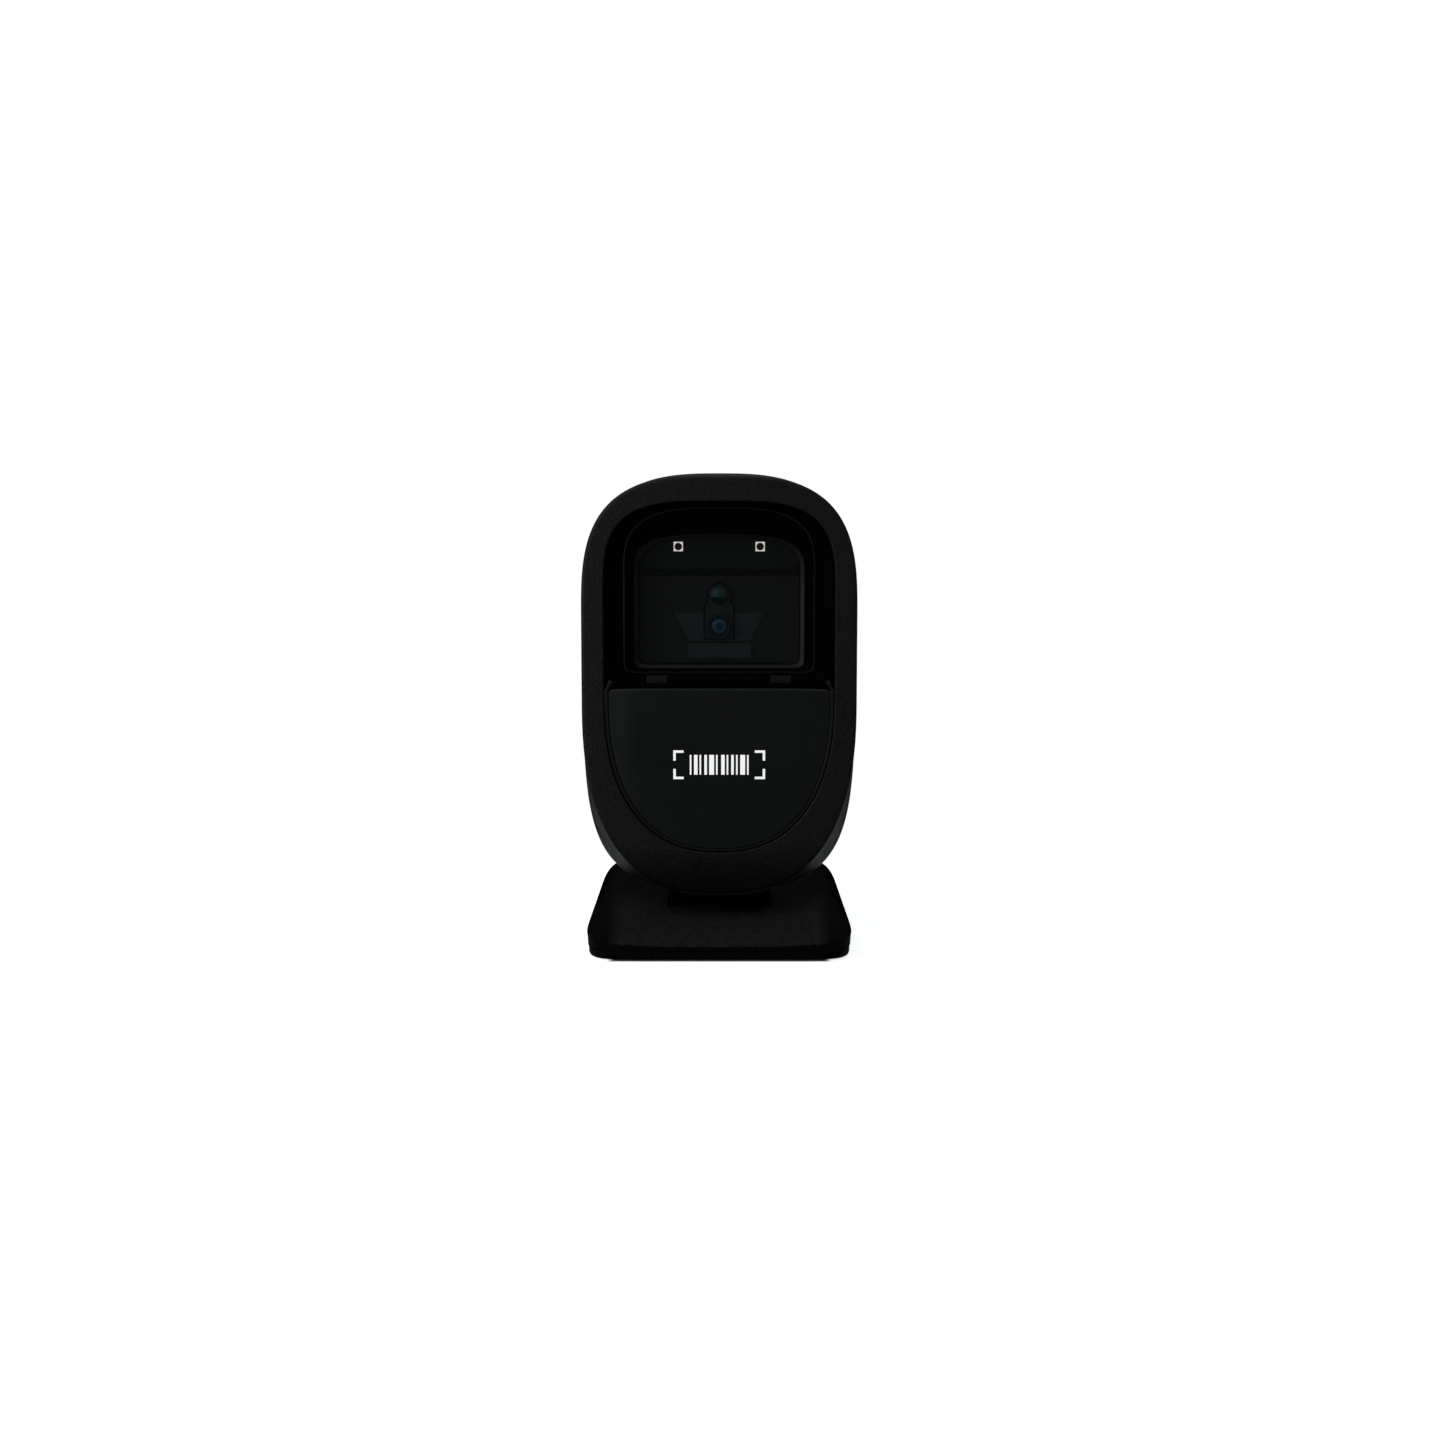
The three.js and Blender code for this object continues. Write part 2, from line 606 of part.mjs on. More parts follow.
// Main board, notched round the lower screws' bosses.
function mainBoard() {
  const [half, front, back] = BLOCKS.mainBoard;
  const notch = (s) => box([s * half - 4, FACE_Y + front - 1, 44], [s * half + 4, FACE_Y + back + 1, 55]);
  return cut(block("mainBoard"), notch(1), notch(-1));
}

const shieldCan = () => block("shieldCan").subtract(block("insideOfCan"));

// Flat flex cable from the camera board down to the main board.
function imagerFlex() {
  const path = [
    [35.3, 97], [35.3, 90], [34.6, 86.4], [32.4, 84.2], [29, 83.3],
    [23, 82.6], [19.6, 81.6], [18.1, 79.6], [17.9, 77.4],
  ];
  const [halfWidth, thick] = [5, 0.22];
  const corner = (across, i, lift) => {
    const [d, z] = path[i];
    const [e, w] = path[Math.min(i + 1, path.length - 1)];
    const [c, v] = path[Math.max(i - 1, 0)];
    const length = Math.hypot(e - c, w - v);
    const x = mix(-halfWidth, halfWidth, across);
    return [x, FACE_Y + d + (lift * (v - w)) / length, z + (lift * (e - c)) / length];
  };
  const last = path.length - 1;
  const face = (lift) => (s, t) => corner(s, Math.round(t * last), lift);
  return slab(face(0), face(thick), 1, last);
}

function interfaceJack() {
  const { z, halfWidth, halfHeight, back, front } = SOCKET;
  const [start, end] = [FACE_Y + front, FACE_Y + back + 1];
  const mouth = box([-halfWidth, start, z - halfHeight], [halfWidth, end, z + halfHeight]);
  const latch = box([-3, start + 4, z - halfHeight - 1.7], [3, end, z - halfHeight + 0.1]);
  return cut(block("jack"), mouth, latch);
}

// Comb of spring contacts under the roof of the socket.
function jackContacts() {
  const roof = SOCKET.z + SOCKET.halfHeight - GAP;
  let comb = box([-5.2, FACE_Y + 24.3, roof - 0.5], [5.2, FACE_Y + 25.3, roof]);
  for (let i = 0; i < 8; i++) {
    const x = -4.44 + 1.27 * i;
    const tip = [[24.6, roof - 0.35], [24.6, roof], [31, roof - 0.6], [31, roof - 1.1]];
    const points = tip.map(([d, z]) => new THREE.Vector2(FACE_Y + d, z));
    const finger = new THREE.ExtrudeGeometry(new THREE.Shape(points), { depth: 0.45, bevelEnabled: false });
    const across = new THREE.Matrix4().set(0, 0, 1, x - 0.225, 1, 0, 0, 0, 0, 1, 0, 0, 0, 0, 0, 1);
    comb = comb.add(solidOf(finger.applyMatrix4(across)));
  }
  return comb;
}

function speaker() {
  const r = SPEAKER.radius;
  const magnet = [[0, 0], [r * 0.55, 0], [r * 0.6, 2]];
  const cone = [[r * 0.85, 4.2], [r * 0.6, 3.6], [0, 4]];
  const profile = [...magnet, [r, 2.3], [r, 4.2], ...cone];
  return turned(profile, "y", [0, FACE_Y + 40.3, SPEAKER.z], 20);
}

// ---- Hinge ----
function hingeShaft() {
  const { shaft: r, half: h, clip } = HINGE;
  const [near, far, deep] = [clip - 0.45, clip + 0.45, r - 0.5]; // groove for the retaining ring
  const rightHalf = [
    [r, near], [deep, near], [deep, far], [r, far], [r, h - 0.4], [r - 0.4, h], [0, h],
  ];
  const leftHalf = rightHalf.map(([radius, x]) => [radius, -x]).reverse();
  return turned([...leftHalf, ...rightHalf], "x", [0, HINGE.y, HINGE.z], 20);
}

// Flanged bush in a hinge ear, bored for the shaft.
function hingeBush(s) {
  const [x0, x1] = [EAR.inner - GAP, EAR.outer];
  const body = bar(3.9, "x", x0 - 0.1, x1, [0, 0, 0], 18).add(bar(4.9, "x", x0 - 0.8, x0, [0, 0, 0], 18));
  const bored = body.subtract(bar(HINGE.bore, "x", 0, 40, [0, 0, 0], 24));
  return (s > 0 ? bored : bored.mirror([1, 0, 0])).translate([0, HINGE.y, HINGE.z]);
}

// Sprung washer with three waves that holds the head by friction.
function waveWasher(s) {
  const rings = [];
  const middle = s * 17.05;
  for (let i = 0; i < 24; i++) {
    const angle = (2 * Math.PI * i) / 24;
    const wave = middle + 0.3 * Math.sin(3 * angle);
    const at = (r, x) => [x, HINGE.y + r * Math.cos(angle), HINGE.z + r * Math.sin(angle)];
    rings.push([at(3, wave - 0.2), at(5.2, wave - 0.2), at(5.2, wave + 0.2), at(3, wave + 0.2)]);
  }
  return skin(rings, true);
}

// Open retaining ring in the groove near each end of the shaft.
function shaftClip(s) {
  const [inner, width, half, gap] = [HINGE.shaft - 0.35, 1.6, 0.25, 0.5];
  const face = (x) => (across, along) => {
    const angle = mix(gap, 2 * Math.PI - gap, along) + Math.PI / 2;
    const radius = inner + width * across;
    return [x, HINGE.y + radius * Math.cos(angle), HINGE.z + radius * Math.sin(angle)];
  };
  return slab(face(s * HINGE.clip - half), face(s * HINGE.clip + half), 1, 20);
}

// ---- Base ----
// The neck that stands on the base and carries the shaft.
function neckPost() {
  const profile = new THREE.Shape();
  profile.moveTo(-8, 6);
  profile.lineTo(14.5, 6);
  profile.lineTo(13, 12);
  profile.absarc(HINGE.y, HINGE.z, 7, -0.2, Math.PI + 0.2, false);
  profile.lineTo(-6.5, 12);
  profile.closePath();
  const options = { depth: 2 * NECK_HALF, bevelEnabled: false, curveSegments: 14 };
  const g = new THREE.ExtrudeGeometry(profile, options);
  const across = new THREE.Matrix4().set(0, 0, 1, -NECK_HALF, 1, 0, 0, 0, 0, 1, 0, 0, 0, 0, 0, 1);
  const post = solidOf(g.applyMatrix4(across));
  const foot = box([-26, -1, 6], [26, 15, 8]);
  const bore = bar(HINGE.bore, "x", -20, 20, [0, HINGE.y, HINGE.z], 24);
  let neck = cut(post.add(foot), bore);
  for (const [x, y] of Object.values(NECK_SCREWS)) {
    neck = neck.subtract(bar(1.35, "z", 5, 9, [x, y, 0], 10));
  }
  return neck;
}

// A point on the base's plan, inset from its edge.
function basePlan(angle, d) {
  const power = 2 / BASE.corner;
  const y = (BASE.halfDepth - d) * side(Math.sin(angle), power);
  const half = BASE.halfWidth - BASE.taper * y - d;
  return [half * side(Math.cos(angle), power), y];
}

// How far back a point is on the base, from 0 at the front edge to 1 at the rear.
const rearward = (y) => clamp((y + BASE.halfDepth) / (2 * BASE.halfDepth), 0, 1);

// Height of the sharp edge between the base's walls and its top.
function beltHeight(x, y) {
  const across = clamp(Math.abs(x) / BASE.halfWidth, 0, 1);
  return BASE_TOP.lip + 2.3 * across ** 4 + 3.2 * rearward(y);
}

// Height of the dished top: low along the middle, with a crest along each side that rises to the rear.
function dishHeight(x, y) {
  const across = clamp(Math.abs(x) / BASE_TOP.crest, 0, 1);
  const middle = BASE_TOP.lip + 9.3 * rearward(y) ** 0.62;
  const crest = 7.6 + 10.2 * rearward(y);
  return middle + Math.max(0, crest - middle) * across ** 3;
}

// The top rises from the sharp edge in a quarter of an ellipse, which is wider in front.
function topHeight(x, y, d) {
  const across = clamp(1 - d / mix(9.5, 5, rearward(y)), 0, 1);
  return mix(beltHeight(x, y), dishHeight(x, y), Math.sqrt(1 - across ** 2));
}

// Evenly spaced points round a closed line.
function evenly(points, count) {
  const shape = new THREE.Shape(points.map(([x, y]) => new THREE.Vector2(x, y))).closePath();
  return shape.getSpacedPoints(count).slice(0, count).map(({ x, y }) => [x, y]);
}

// A ring of the base's plan, inset from its edge, with a height for each point.
function baseRing(d, height) {
  const fine = Array.from({ length: 360 }, (_, i) => basePlan((Math.PI * (i + 0.5)) / 180, d));
  return evenly(fine, BASE_POINTS).map(([x, y]) => [x, y, height(x, y, d)]);
}

// A ring of the top, shrunk towards its middle.
function shrunkRing(size, drop) {
  return baseRing(BASE_ROUND, () => 0).map(([x, y]) => [
    size * x, size * y, topHeight(size * x, size * y, BASE_ROUND) - drop,
  ]);
}

function baseShell() {
  const cover = (wall, bottom, steps, sizes) => skin([
    baseRing(0.3 + wall, () => bottom),
    baseRing(wall, (x, y) => beltHeight(x, y) - 0.7 - wall),
    ...steps.map((d) => baseRing(d + wall, (x, y) => topHeight(x, y, d) - wall)),
    ...sizes.map((size) => shrunkRing(size, wall)),
  ]);
  const outside = cover(0, BASE.bottom, [0.3, 1.2, 2.6, 4.6, 7], [1, 0.8, 0.6, 0.4, 0.2]);
  const inside = cover(2, 0, [1.2, 4.6], [1, 0.7, 0.35]).intersect(box([-50, -31, -1], [50, 50, 30]));
  let shell = outside.subtract(inside);
  for (const [x, y] of Object.values(BASE_SCREWS)) {
    shell = shell.add(bar(3.2, "z", BASE.bottom + 2.4, 18, [x, y, 0], 12).intersect(outside));
  }
  for (const [x, y] of Object.values(BASE_SCREWS)) {
    shell = shell.subtract(bar(1.35, "z", 0, 9.4, [x, y, 0], 10));
  }
  return shell.subtract(box([-NECK_HALF - 0.5, -8.6, 0], [NECK_HALF + 0.5, 15.1, 30]));
}

function basePlate() {
  const { bottom, top, inset: rim } = PLATE;
  const ring = (d, z) => baseRing(d, () => z);
  let floor = skin([ring(rim + 1.5, bottom), ring(rim + 0.5, bottom + 0.6), ring(rim, top)]);
  for (const [x, y] of [...Object.values(BASE_SCREWS), ...Object.values(NECK_SCREWS)]) {
    floor = floor
      .subtract(bar(1.5, "z", 0, 5, [x, y, 0], 10))
      .subtract(bar(2.9, "z", 0, bottom + 1.3, [x, y, 0], 16));
  }
  for (const { from, to, y0, y1 } of [FRONT_FOOT, REAR_FOOT]) {
    const seat = box([from - GAP, y0 - GAP, 0], [to + GAP, y1 + GAP, bottom + FOOT.seat]);
    floor = cut(floor, seat, seat.mirror([1, 0, 0]));
  }
  return floor;
}

function ballastPlate() {
  let steel = box([-34, -14, PLATE.top + GAP], [34, 35, 5.7]);
  for (const s of [-1, 1]) {
    steel = steel.subtract(box([s * 31 - 4, -15, 3], [s * 31 + 4, -1.8, 7]));
    steel = steel.subtract(box([s * 31 - 6.6, 25, 3], [s * 31 + 6.6, 36, 7]));
  }
  for (const [x, y] of Object.values(NECK_SCREWS)) {
    steel = steel.subtract(bar(1.5, "z", 0, 9, [x, y, 0], 10));
  }
  return steel;
}

// Rubber foot: a pad with a rib at each end that meets the counter, on the right or the left.
function foot({ from, to, y0, y1 }, sign) {
  const { low, rib, chamfer, seat } = FOOT;
  const top = PLATE.bottom + seat - 0.05;
  const ribAt = (x) => [[x, low], [x + chamfer, 0], [x + rib - chamfer, 0], [x + rib, low]];
  const points = [...ribAt(from), ...ribAt(to - rib), [to, top], [from, top]];
  const shape = new THREE.Shape(points.map(([x, z]) => new THREE.Vector2(sign * x, z)));
  const g = new THREE.ExtrudeGeometry(shape, { depth: y1 - y0, bevelEnabled: false });
  return solidOf(g.rotateX(Math.PI / 2).translate(0, y1, 0));
}

// Pan-head screw with a socket, its head at the start of the axis.
function screw(axis, at, length) {
  const socket = [[0, 1], [1, 1], [1, 0]];
  const rim = [[2, 0], [2.4, 0.5], [2.4, 1.5]];
  const thread = [[1.05, 1.5], [1.05, length], [0, length]];
  return turned([...socket, ...rim, ...thread], axis, at, 10);
}

// ---- Assembly ----
const scanner = new THREE.Group();
const base = new THREE.Group();
const head = new THREE.Group();
const trigger = new THREE.Group();
head.add(trigger);
scanner.add(base, head);
const add = (group, name, solid, material) => group.add(meshOf(name, solid, material));

add(base, "base_shell", baseShell(), materials.texturedBlack);
add(base, "base_plate", basePlate(), materials.darkPlastic);
add(base, "ballast_plate", ballastPlate(), materials.steel);
add(base, "neck_post", neckPost(), materials.texturedBlack);
add(base, "hinge_shaft", hingeShaft(), materials.steel);
for (const [name, s] of [["right", 1], ["left", -1]]) {
  add(base, "wave_washer_" + name, waveWasher(s), materials.steel);
  add(base, "shaft_clip_" + name, shaftClip(s), materials.steel);
  const [x, y] = NECK_SCREWS[name];
  add(base, "neck_screw_" + name, screw("z", [x, y, PLATE.bottom - 0.25], 7), materials.steel);
  add(base, "front_foot_" + name, foot(FRONT_FOOT, s), materials.rubber);
  add(base, "rear_foot_" + name, foot(REAR_FOOT, s), materials.rubber);
}
for (const [name, [x, y]] of Object.entries(BASE_SCREWS)) {
  add(base, "base_screw_" + name, screw("z", [x, y, PLATE.bottom - 0.25], 7), materials.steel);
}

add(head, "front_bezel", frontBezel(), materials.texturedBlack);
add(head, "window_frame", windowFrame(), materials.glossBlack);
add(head, "scan_window", scanWindow(), materials.window);
add(head, "window_gasket", windowGasket(), materials.rubber);
add(head, "front_panel", frontPanel(), materials.glossBlack);
add(head, "light_pipe", lightPipe(), materials.lightPipe);
add(head, "rear_housing", rearHousing(), materials.texturedBlack);
for (const [name, [x, z]] of Object.entries(HOUSING_SCREWS)) {
  add(head, "housing_screw_" + name, screw("-y", [x, FACE_Y + SCREW_SEAT + 1.8, z], 16), materials.steel);
}
add(head, "optics_chassis", opticsChassis(), materials.darkPlastic);
add(head, "imager_tray", imagerTray(), materials.greyPlastic);
add(head, "imager_skirt", block("skirt"), materials.greyPlastic);
add(head, "imager_body", imagerBody(), materials.darkPlastic);
add(head, "lens_barrel", lensBarrel(), materials.component);
add(head, "lens_element", lensElement(), materials.lensGlass);
add(head, "aimer_lens", aimerLens(), materials.lensGlass);
add(head, "imager_board", block("imagerBoard"), materials.board);
add(head, "illumination_board", block("illuminationBoard"), materials.board);
for (const [name, s] of [["right", 1], ["left", -1]]) {
  add(head, "led_" + name, ledPackage(s * LED.x), materials.ledWhite);
  add(head, "led_dome_" + name, ledDome(s * LED.x), materials.ledDome);
  add(head, "hinge_bush_" + name, hingeBush(s), materials.bronze);
}
add(head, "main_board", mainBoard(), materials.board);
add(head, "shield_can", shieldCan(), materials.steel);
add(head, "flex_connector", block("flexConnector"), materials.component);
add(head, "imager_flex", imagerFlex(), materials.bronze);
add(head, "indicator_lamp", block("indicatorLamp"), materials.ledWhite);
add(head, "socket_board", block("socketBoard"), materials.board);
add(head, "board_connector", block("boardConnector"), materials.component);
add(head, "interface_jack", interfaceJack(), materials.component);
add(head, "jack_contacts", jackContacts(), materials.gold);
add(head, "speaker", speaker(), materials.component);
add(head, "trigger_board", block("triggerBoard"), materials.board);
add(head, "trigger_switch", triggerSwitch(), materials.component);
add(head, "trigger_spring", triggerSpring(), materials.steel);
add(trigger, "trigger_button", triggerButton(), materials.glossBlack);

export default scanner;
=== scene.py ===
"""A hands-free barcode scanner: an upright black head with a deep scan window, on a low dished base.

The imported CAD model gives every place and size. This script rebuilds the visible shells from the same
outlines with far finer surfaces, gives every piece its material, and adds the floor, lights and camera.
Lengths are in millimetres until a mesh is made.
"""

import json
import math

import bmesh
import bpy
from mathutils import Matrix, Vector


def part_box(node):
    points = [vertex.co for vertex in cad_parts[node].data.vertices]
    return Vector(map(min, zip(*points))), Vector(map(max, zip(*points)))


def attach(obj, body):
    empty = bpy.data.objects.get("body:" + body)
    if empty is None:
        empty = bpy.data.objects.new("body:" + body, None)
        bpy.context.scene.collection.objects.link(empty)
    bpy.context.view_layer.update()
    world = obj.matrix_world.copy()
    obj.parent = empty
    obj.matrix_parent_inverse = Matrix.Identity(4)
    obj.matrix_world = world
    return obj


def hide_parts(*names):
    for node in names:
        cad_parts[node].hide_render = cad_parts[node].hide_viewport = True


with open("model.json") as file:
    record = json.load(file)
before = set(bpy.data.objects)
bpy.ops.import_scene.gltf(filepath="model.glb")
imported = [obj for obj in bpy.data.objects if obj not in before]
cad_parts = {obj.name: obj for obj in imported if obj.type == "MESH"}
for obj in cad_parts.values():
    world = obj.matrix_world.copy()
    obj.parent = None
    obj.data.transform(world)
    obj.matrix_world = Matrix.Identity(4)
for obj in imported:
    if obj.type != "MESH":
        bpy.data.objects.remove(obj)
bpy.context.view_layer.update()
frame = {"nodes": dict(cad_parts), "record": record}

MM = 0.001


# ---- Places and sizes, from the CAD nodes ----
def box_mm(node):
    low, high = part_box(node)
    return Vector(low) / MM, Vector(high) / MM


def centre_mm(node):
    low, high = box_mm(node)
    return (low + high) / 2


bezel_low, bezel_high = box_mm("front_bezel")
housing_low = box_mm("rear_housing")[0]
shell_low, shell_high = box_mm("base_shell")
plate_low, plate_high = box_mm("base_plate")
button_low, button_high = box_mm("trigger_button")

FACE_Y = bezel_low.y
HALF_WIDTH = bezel_high.x
HEAD_TOP = bezel_high.z
CHIN = bezel_low.z
SPLIT = housing_low.y - FACE_Y  # depth where the bezel meets the rear housing
HINGE = centre_mm("hinge_shaft")
JOINT_GAP = 0.3
TRIGGER_TRAVEL = 1.2
WALL = 2.2

# ---- Shape constants shared by several pieces ----
TOP_ARCH = 43.6
CHIN_ARCH = 61.0
TOP_POWERS = (3.1, 2.9)  # at the face, and further back
CHIN_POWERS = (2.45, 3.75)
SETTLED = 18.0  # depth from which the second power holds
CHIN_ROLL = dict(start=33.0, drop=15.0, back=4.6)  # the face bends back towards the chin
DOME_START = 14.0
DOME_REACH = 36.0  # depth over which the back would close completely
DOME_POWER = 2.4
DOME_ANGLE = 1.159  # the dome stops here, in a flat back
DOME_MIDDLE = 82.0  # height towards which the outline shrinks
DOME_LIFT = 10.0  # and how far that rises towards the back
EDGE_RADIUS = 1.0  # outer edge of the face
LIP_RADIUS = 0.45  # edge of the opening
OPENING = dict(a=35.6, z_high=109.9, b_high=30.0, n_high=3.5, z_low=78.8, b_low=48.0, n_low=2.35)
FRAME_SIDE = 109.9  # height where the window frame's lower corners start
SILL = dict(a=35.2, top=139.5, b_high=29.6, n_high=3.5, bottom=83.0, b_low=FRAME_SIDE - 83.0, n_low=16.0)
LIP_CORNER = 25.0  # power of the tight lower corners of the frame's lips
PIPE_WIDTH = 0.9
NECK_HALF = 16.0

# Base: a rounded block whose top dips between two crests, above a sharp belt.
BASE_HALF_DEPTH = 41.5
BASE_HALF_WIDTH = 39.9
BASE_TAPER = 0.045
BASE_CORNER = 9.0
BELT = dict(front=4.9, side_rise=2.3, back_rise=3.2)
DISH = dict(rise=9.3, power=0.62)
CREST = dict(half_width=33.0, front=7.6, rise=10.2)
BASE_BORDER = dict(front=9.5, back=5.0)  # width of the rounded border of its top
BORDER_END = 9.0  # inset of the last ring that follows the base's plan
BASE_WALL = 2.0

SIGNS = {"left": -1, "right": 1}
OUTLINE_POINTS = 88  # on each half of an outline
BASE_POINTS = 240


def clamp(value, low, high):
    return min(high, max(low, value))


def mix(a, b, t):
    return a + (b - a) * t


def signed_power(value, power):
    return math.copysign(abs(value) ** power, value)


def quarter_turn(steps, first=1):
    """Even angles up to a right angle."""
    return [math.pi / 2 * i / steps for i in range(first, steps + 1)]


# ---- Outlines ----
def evenly(points, count):
    """The same line with evenly spaced points."""
    steps = [math.dist(a, b) for a, b in zip(points, points[1:])]
    total, made, i, walked = sum(steps), [points[0]], 0, 0.0
    for k in range(1, count - 1):
        target = total * k / (count - 1)
        while walked + steps[i] < target:
            walked += steps[i]
            i += 1
        t = (target - walked) / steps[i]
        made.append(tuple(mix(p, q, t) for p, q in zip(points[i], points[i + 1])))
    return made + [points[-1]]


def half_arch(a, b, power, count):
    """Half a superellipse, from (a, 0) over (0, b) to (-a, 0)."""
    fine = 600
    dense = []
    for i in range(fine + 1):
        angle = math.pi * i / fine
        x = a * signed_power(math.cos(angle), 2 / power)
        dense.append((x, b * max(0.0, math.sin(angle)) ** (2 / power)))
    return evenly(dense, count)


def outline(o, count=OUTLINE_POINTS):
    """A closed outline in X and Z: an arch, straight sides, and an arch below."""
    upper = [(x, o["z_high"] + z) for x, z in half_arch(o["a"], o["b_high"], o["n_high"], count)]
    lower = [(-x, o["z_low"] - z) for x, z in half_arch(o["a"], o["b_low"], o["n_low"], count)]
    return upper + lower


def inset(o, d):
    """The same outline, smaller by d all round."""
    return {**o, "a": o["a"] - d, "b_high": o["b_high"] - d, "b_low": o["b_low"] - d}


def arch(a, top, b_high, n_high, bottom, b_low, n_low):
    """An outline from its top and bottom, the height of each arch and its power."""
    return dict(
        a=a, z_high=top - b_high, b_high=b_high, n_high=n_high, z_low=bottom + b_low, b_low=b_low, n_low=n_low
    )


def at_depth(points, depth):
    return [(x, FACE_Y + depth, z) for x, z in points]


def head_outline(depth, wall=0.0):
    grown = clamp(depth / SETTLED, 0, 1)
    blend = grown * grown * (3 - 2 * grown)
    return dict(
        a=HALF_WIDTH - wall,
        z_high=HEAD_TOP - TOP_ARCH,
        b_high=TOP_ARCH - wall,
        n_high=mix(*TOP_POWERS, blend),
        z_low=CHIN + CHIN_ARCH,
        b_low=CHIN_ARCH - wall,
        n_low=mix(*CHIN_POWERS, blend),
    )


def dome_outline(angle, wall=0.0):
    """The outline on the domed back, where angle runs from 0 to a right angle."""
    reach = math.sin(angle) ** (2 / DOME_POWER)
    size = math.cos(angle) ** (2 / DOME_POWER)
    depth = DOME_START + (DOME_REACH - wall) * reach
    middle = DOME_MIDDLE + DOME_LIFT * reach
    o = head_outline(depth, wall)
    shrunk = {key: size * o[key] for key in ("a", "b_high", "b_low")}
    places = {key: middle + size * (o[key] - middle) for key in ("z_high", "z_low")}
    return depth, {**o, **shrunk, **places}


def chin_bend(z):
    """How far the face has bent back at a height near the chin."""
    return CHIN_ROLL["back"] * (max(0.0, CHIN_ROLL["start"] - z) / CHIN_ROLL["drop"]) ** 2


# ---- Meshes ----
def mesh_object(name, points, faces):
    """A mesh from points in millimetres, with its faces turned outwards."""
    mesh = bpy.data.meshes.new(name)
    mesh.from_pydata([(x * MM, y * MM, z * MM) for x, y, z in points], [], faces)
    shape = bmesh.new()
    shape.from_mesh(mesh)
    bmesh.ops.recalc_face_normals(shape, faces=shape.faces)
    shape.to_mesh(mesh)
    shape.free()
    made = bpy.data.objects.new(name, mesh)
    bpy.context.collection.objects.link(made)
    return made


def skin(name, rings, hoop=False):
    """Rings skinned one to the next, with closed ends, or joined into a hoop."""
    n = len(rings[0])
    points = [p for ring in rings for p in ring]
    faces = []
    for r in range(len(rings) if hoop else len(rings) - 1):
        a, b = r * n, ((r + 1) % len(rings)) * n
        for i in range(n):
            j = (i + 1) % n
            faces.append((a + i, a + j, b + j, b + i))
    if not hoop:
        faces += [tuple(range(n)), tuple(range(len(points) - n, len(points)))]
    return mesh_object(name, points, faces)


def slab(name, front, back, across, along):
    """A sheet with two faces, front(s, t) and back(s, t), for s and t from 0 to 1."""
    points, faces = [], []
    for face in (front, back):
        points += [face(i / across, j / along) for j in range(along + 1) for i in range(across + 1)]
    row, side_count = across + 1, (across + 1) * (along + 1)
    for start in (0, side_count):
        for j in range(along):
            for i in range(across):
                a = start + j * row + i
                faces.append((a, a + 1, a + row + 1, a + row))
    border = list(range(row))
    border += [j * row + across for j in range(1, along + 1)]
    border += [along * row + i for i in reversed(range(across))]
    border += [j * row for j in reversed(range(1, along))]
    for a, b in zip(border, border[1:] + border[:1]):
        faces.append((a, b, b + side_count, a + side_count))
    return mesh_object(name, points, faces)


AXES = {
    "x": lambda r, c, s, h: (h, r * c, r * s),
    "y": lambda r, c, s, h: (r * c, h, r * s),
    "z": lambda r, c, s, h: (r * c, r * s, h),
}


def turned(name, profile, axis, at, count=48):
    """A solid of revolution. The profile is (radius, distance along the axis), and ends on the axis."""
    place = AXES[axis]
    rings = []
    for r, h in profile[1:-1]:
        ring = []
        for i in range(count):
            angle = 2 * math.pi * i / count
            ring.append(tuple(Vector(place(r, math.cos(angle), math.sin(angle), h)) + Vector(at)))
        rings.append(ring)
    return skin(name, rings)


def rod(name, radius, axis, start, end, at, count=48):
    return turned(name, [(0, start), (radius, start), (radius, end), (0, end)], axis, at, count)


def block(name, low, high):
    x0, y0, z0 = low
    x1, y1, z1 = high
    ring = [(x0, y0), (x1, y0), (x1, y1), (x0, y1)]
    return skin(name, [[(x, y, z0) for x, y in ring], [(x, y, z1) for x, y in ring]])


def centred_block(name, half, depths, heights):
    """A block centred on X, between two depths behind the face and two heights."""
    return block(name, (-half, FACE_Y + depths[0], heights[0]), (half, FACE_Y + depths[1], heights[1]))


def duplicate(obj):
    """Another object on the same mesh, which combine() replaces and never edits."""
    made = obj.copy()
    bpy.context.collection.objects.link(made)
    return made


def prism(name, points, start, end):
    """A flat outline in X and Z, between two depths."""
    return skin(name, [at_depth(points, start), at_depth(points, end)])


def combine(target, others, operation):
    """Cuts the other solids from the target, joins them to it, or keeps what they share with it."""
    for other in others:
        step = target.modifiers.new("combine", "BOOLEAN")
        step.operation = operation
        step.solver = "EXACT"
        step.object = other
    bpy.context.view_layer.update()
    seen = target.evaluated_get(bpy.context.evaluated_depsgraph_get())
    result = bpy.data.meshes.new_from_object(seen)
    target.modifiers.clear()
    target.data = result
    for other in others:
        bpy.data.objects.remove(other)
    return target


def carve(target, *cutters):
    return combine(target, cutters, "DIFFERENCE")


def weld(target, *others):
    return combine(target, others, "UNION")


def soften(obj, width, angle=28.0, segments=3):
    """Small round edges wherever two faces meet at more than an angle, and flat faces that stay flat."""
    obj.data.shade_smooth()
    if width:
        rounding = obj.modifiers.new("edges", "BEVEL")
        rounding.width = width * MM
        rounding.segments = segments
        rounding.limit_method = "ANGLE"
        rounding.angle_limit = math.radians(angle)
        rounding.use_clamp_overlap = True
    weighting = obj.modifiers.new("normals", "WEIGHTED_NORMAL")
    weighting.keep_sharp = True


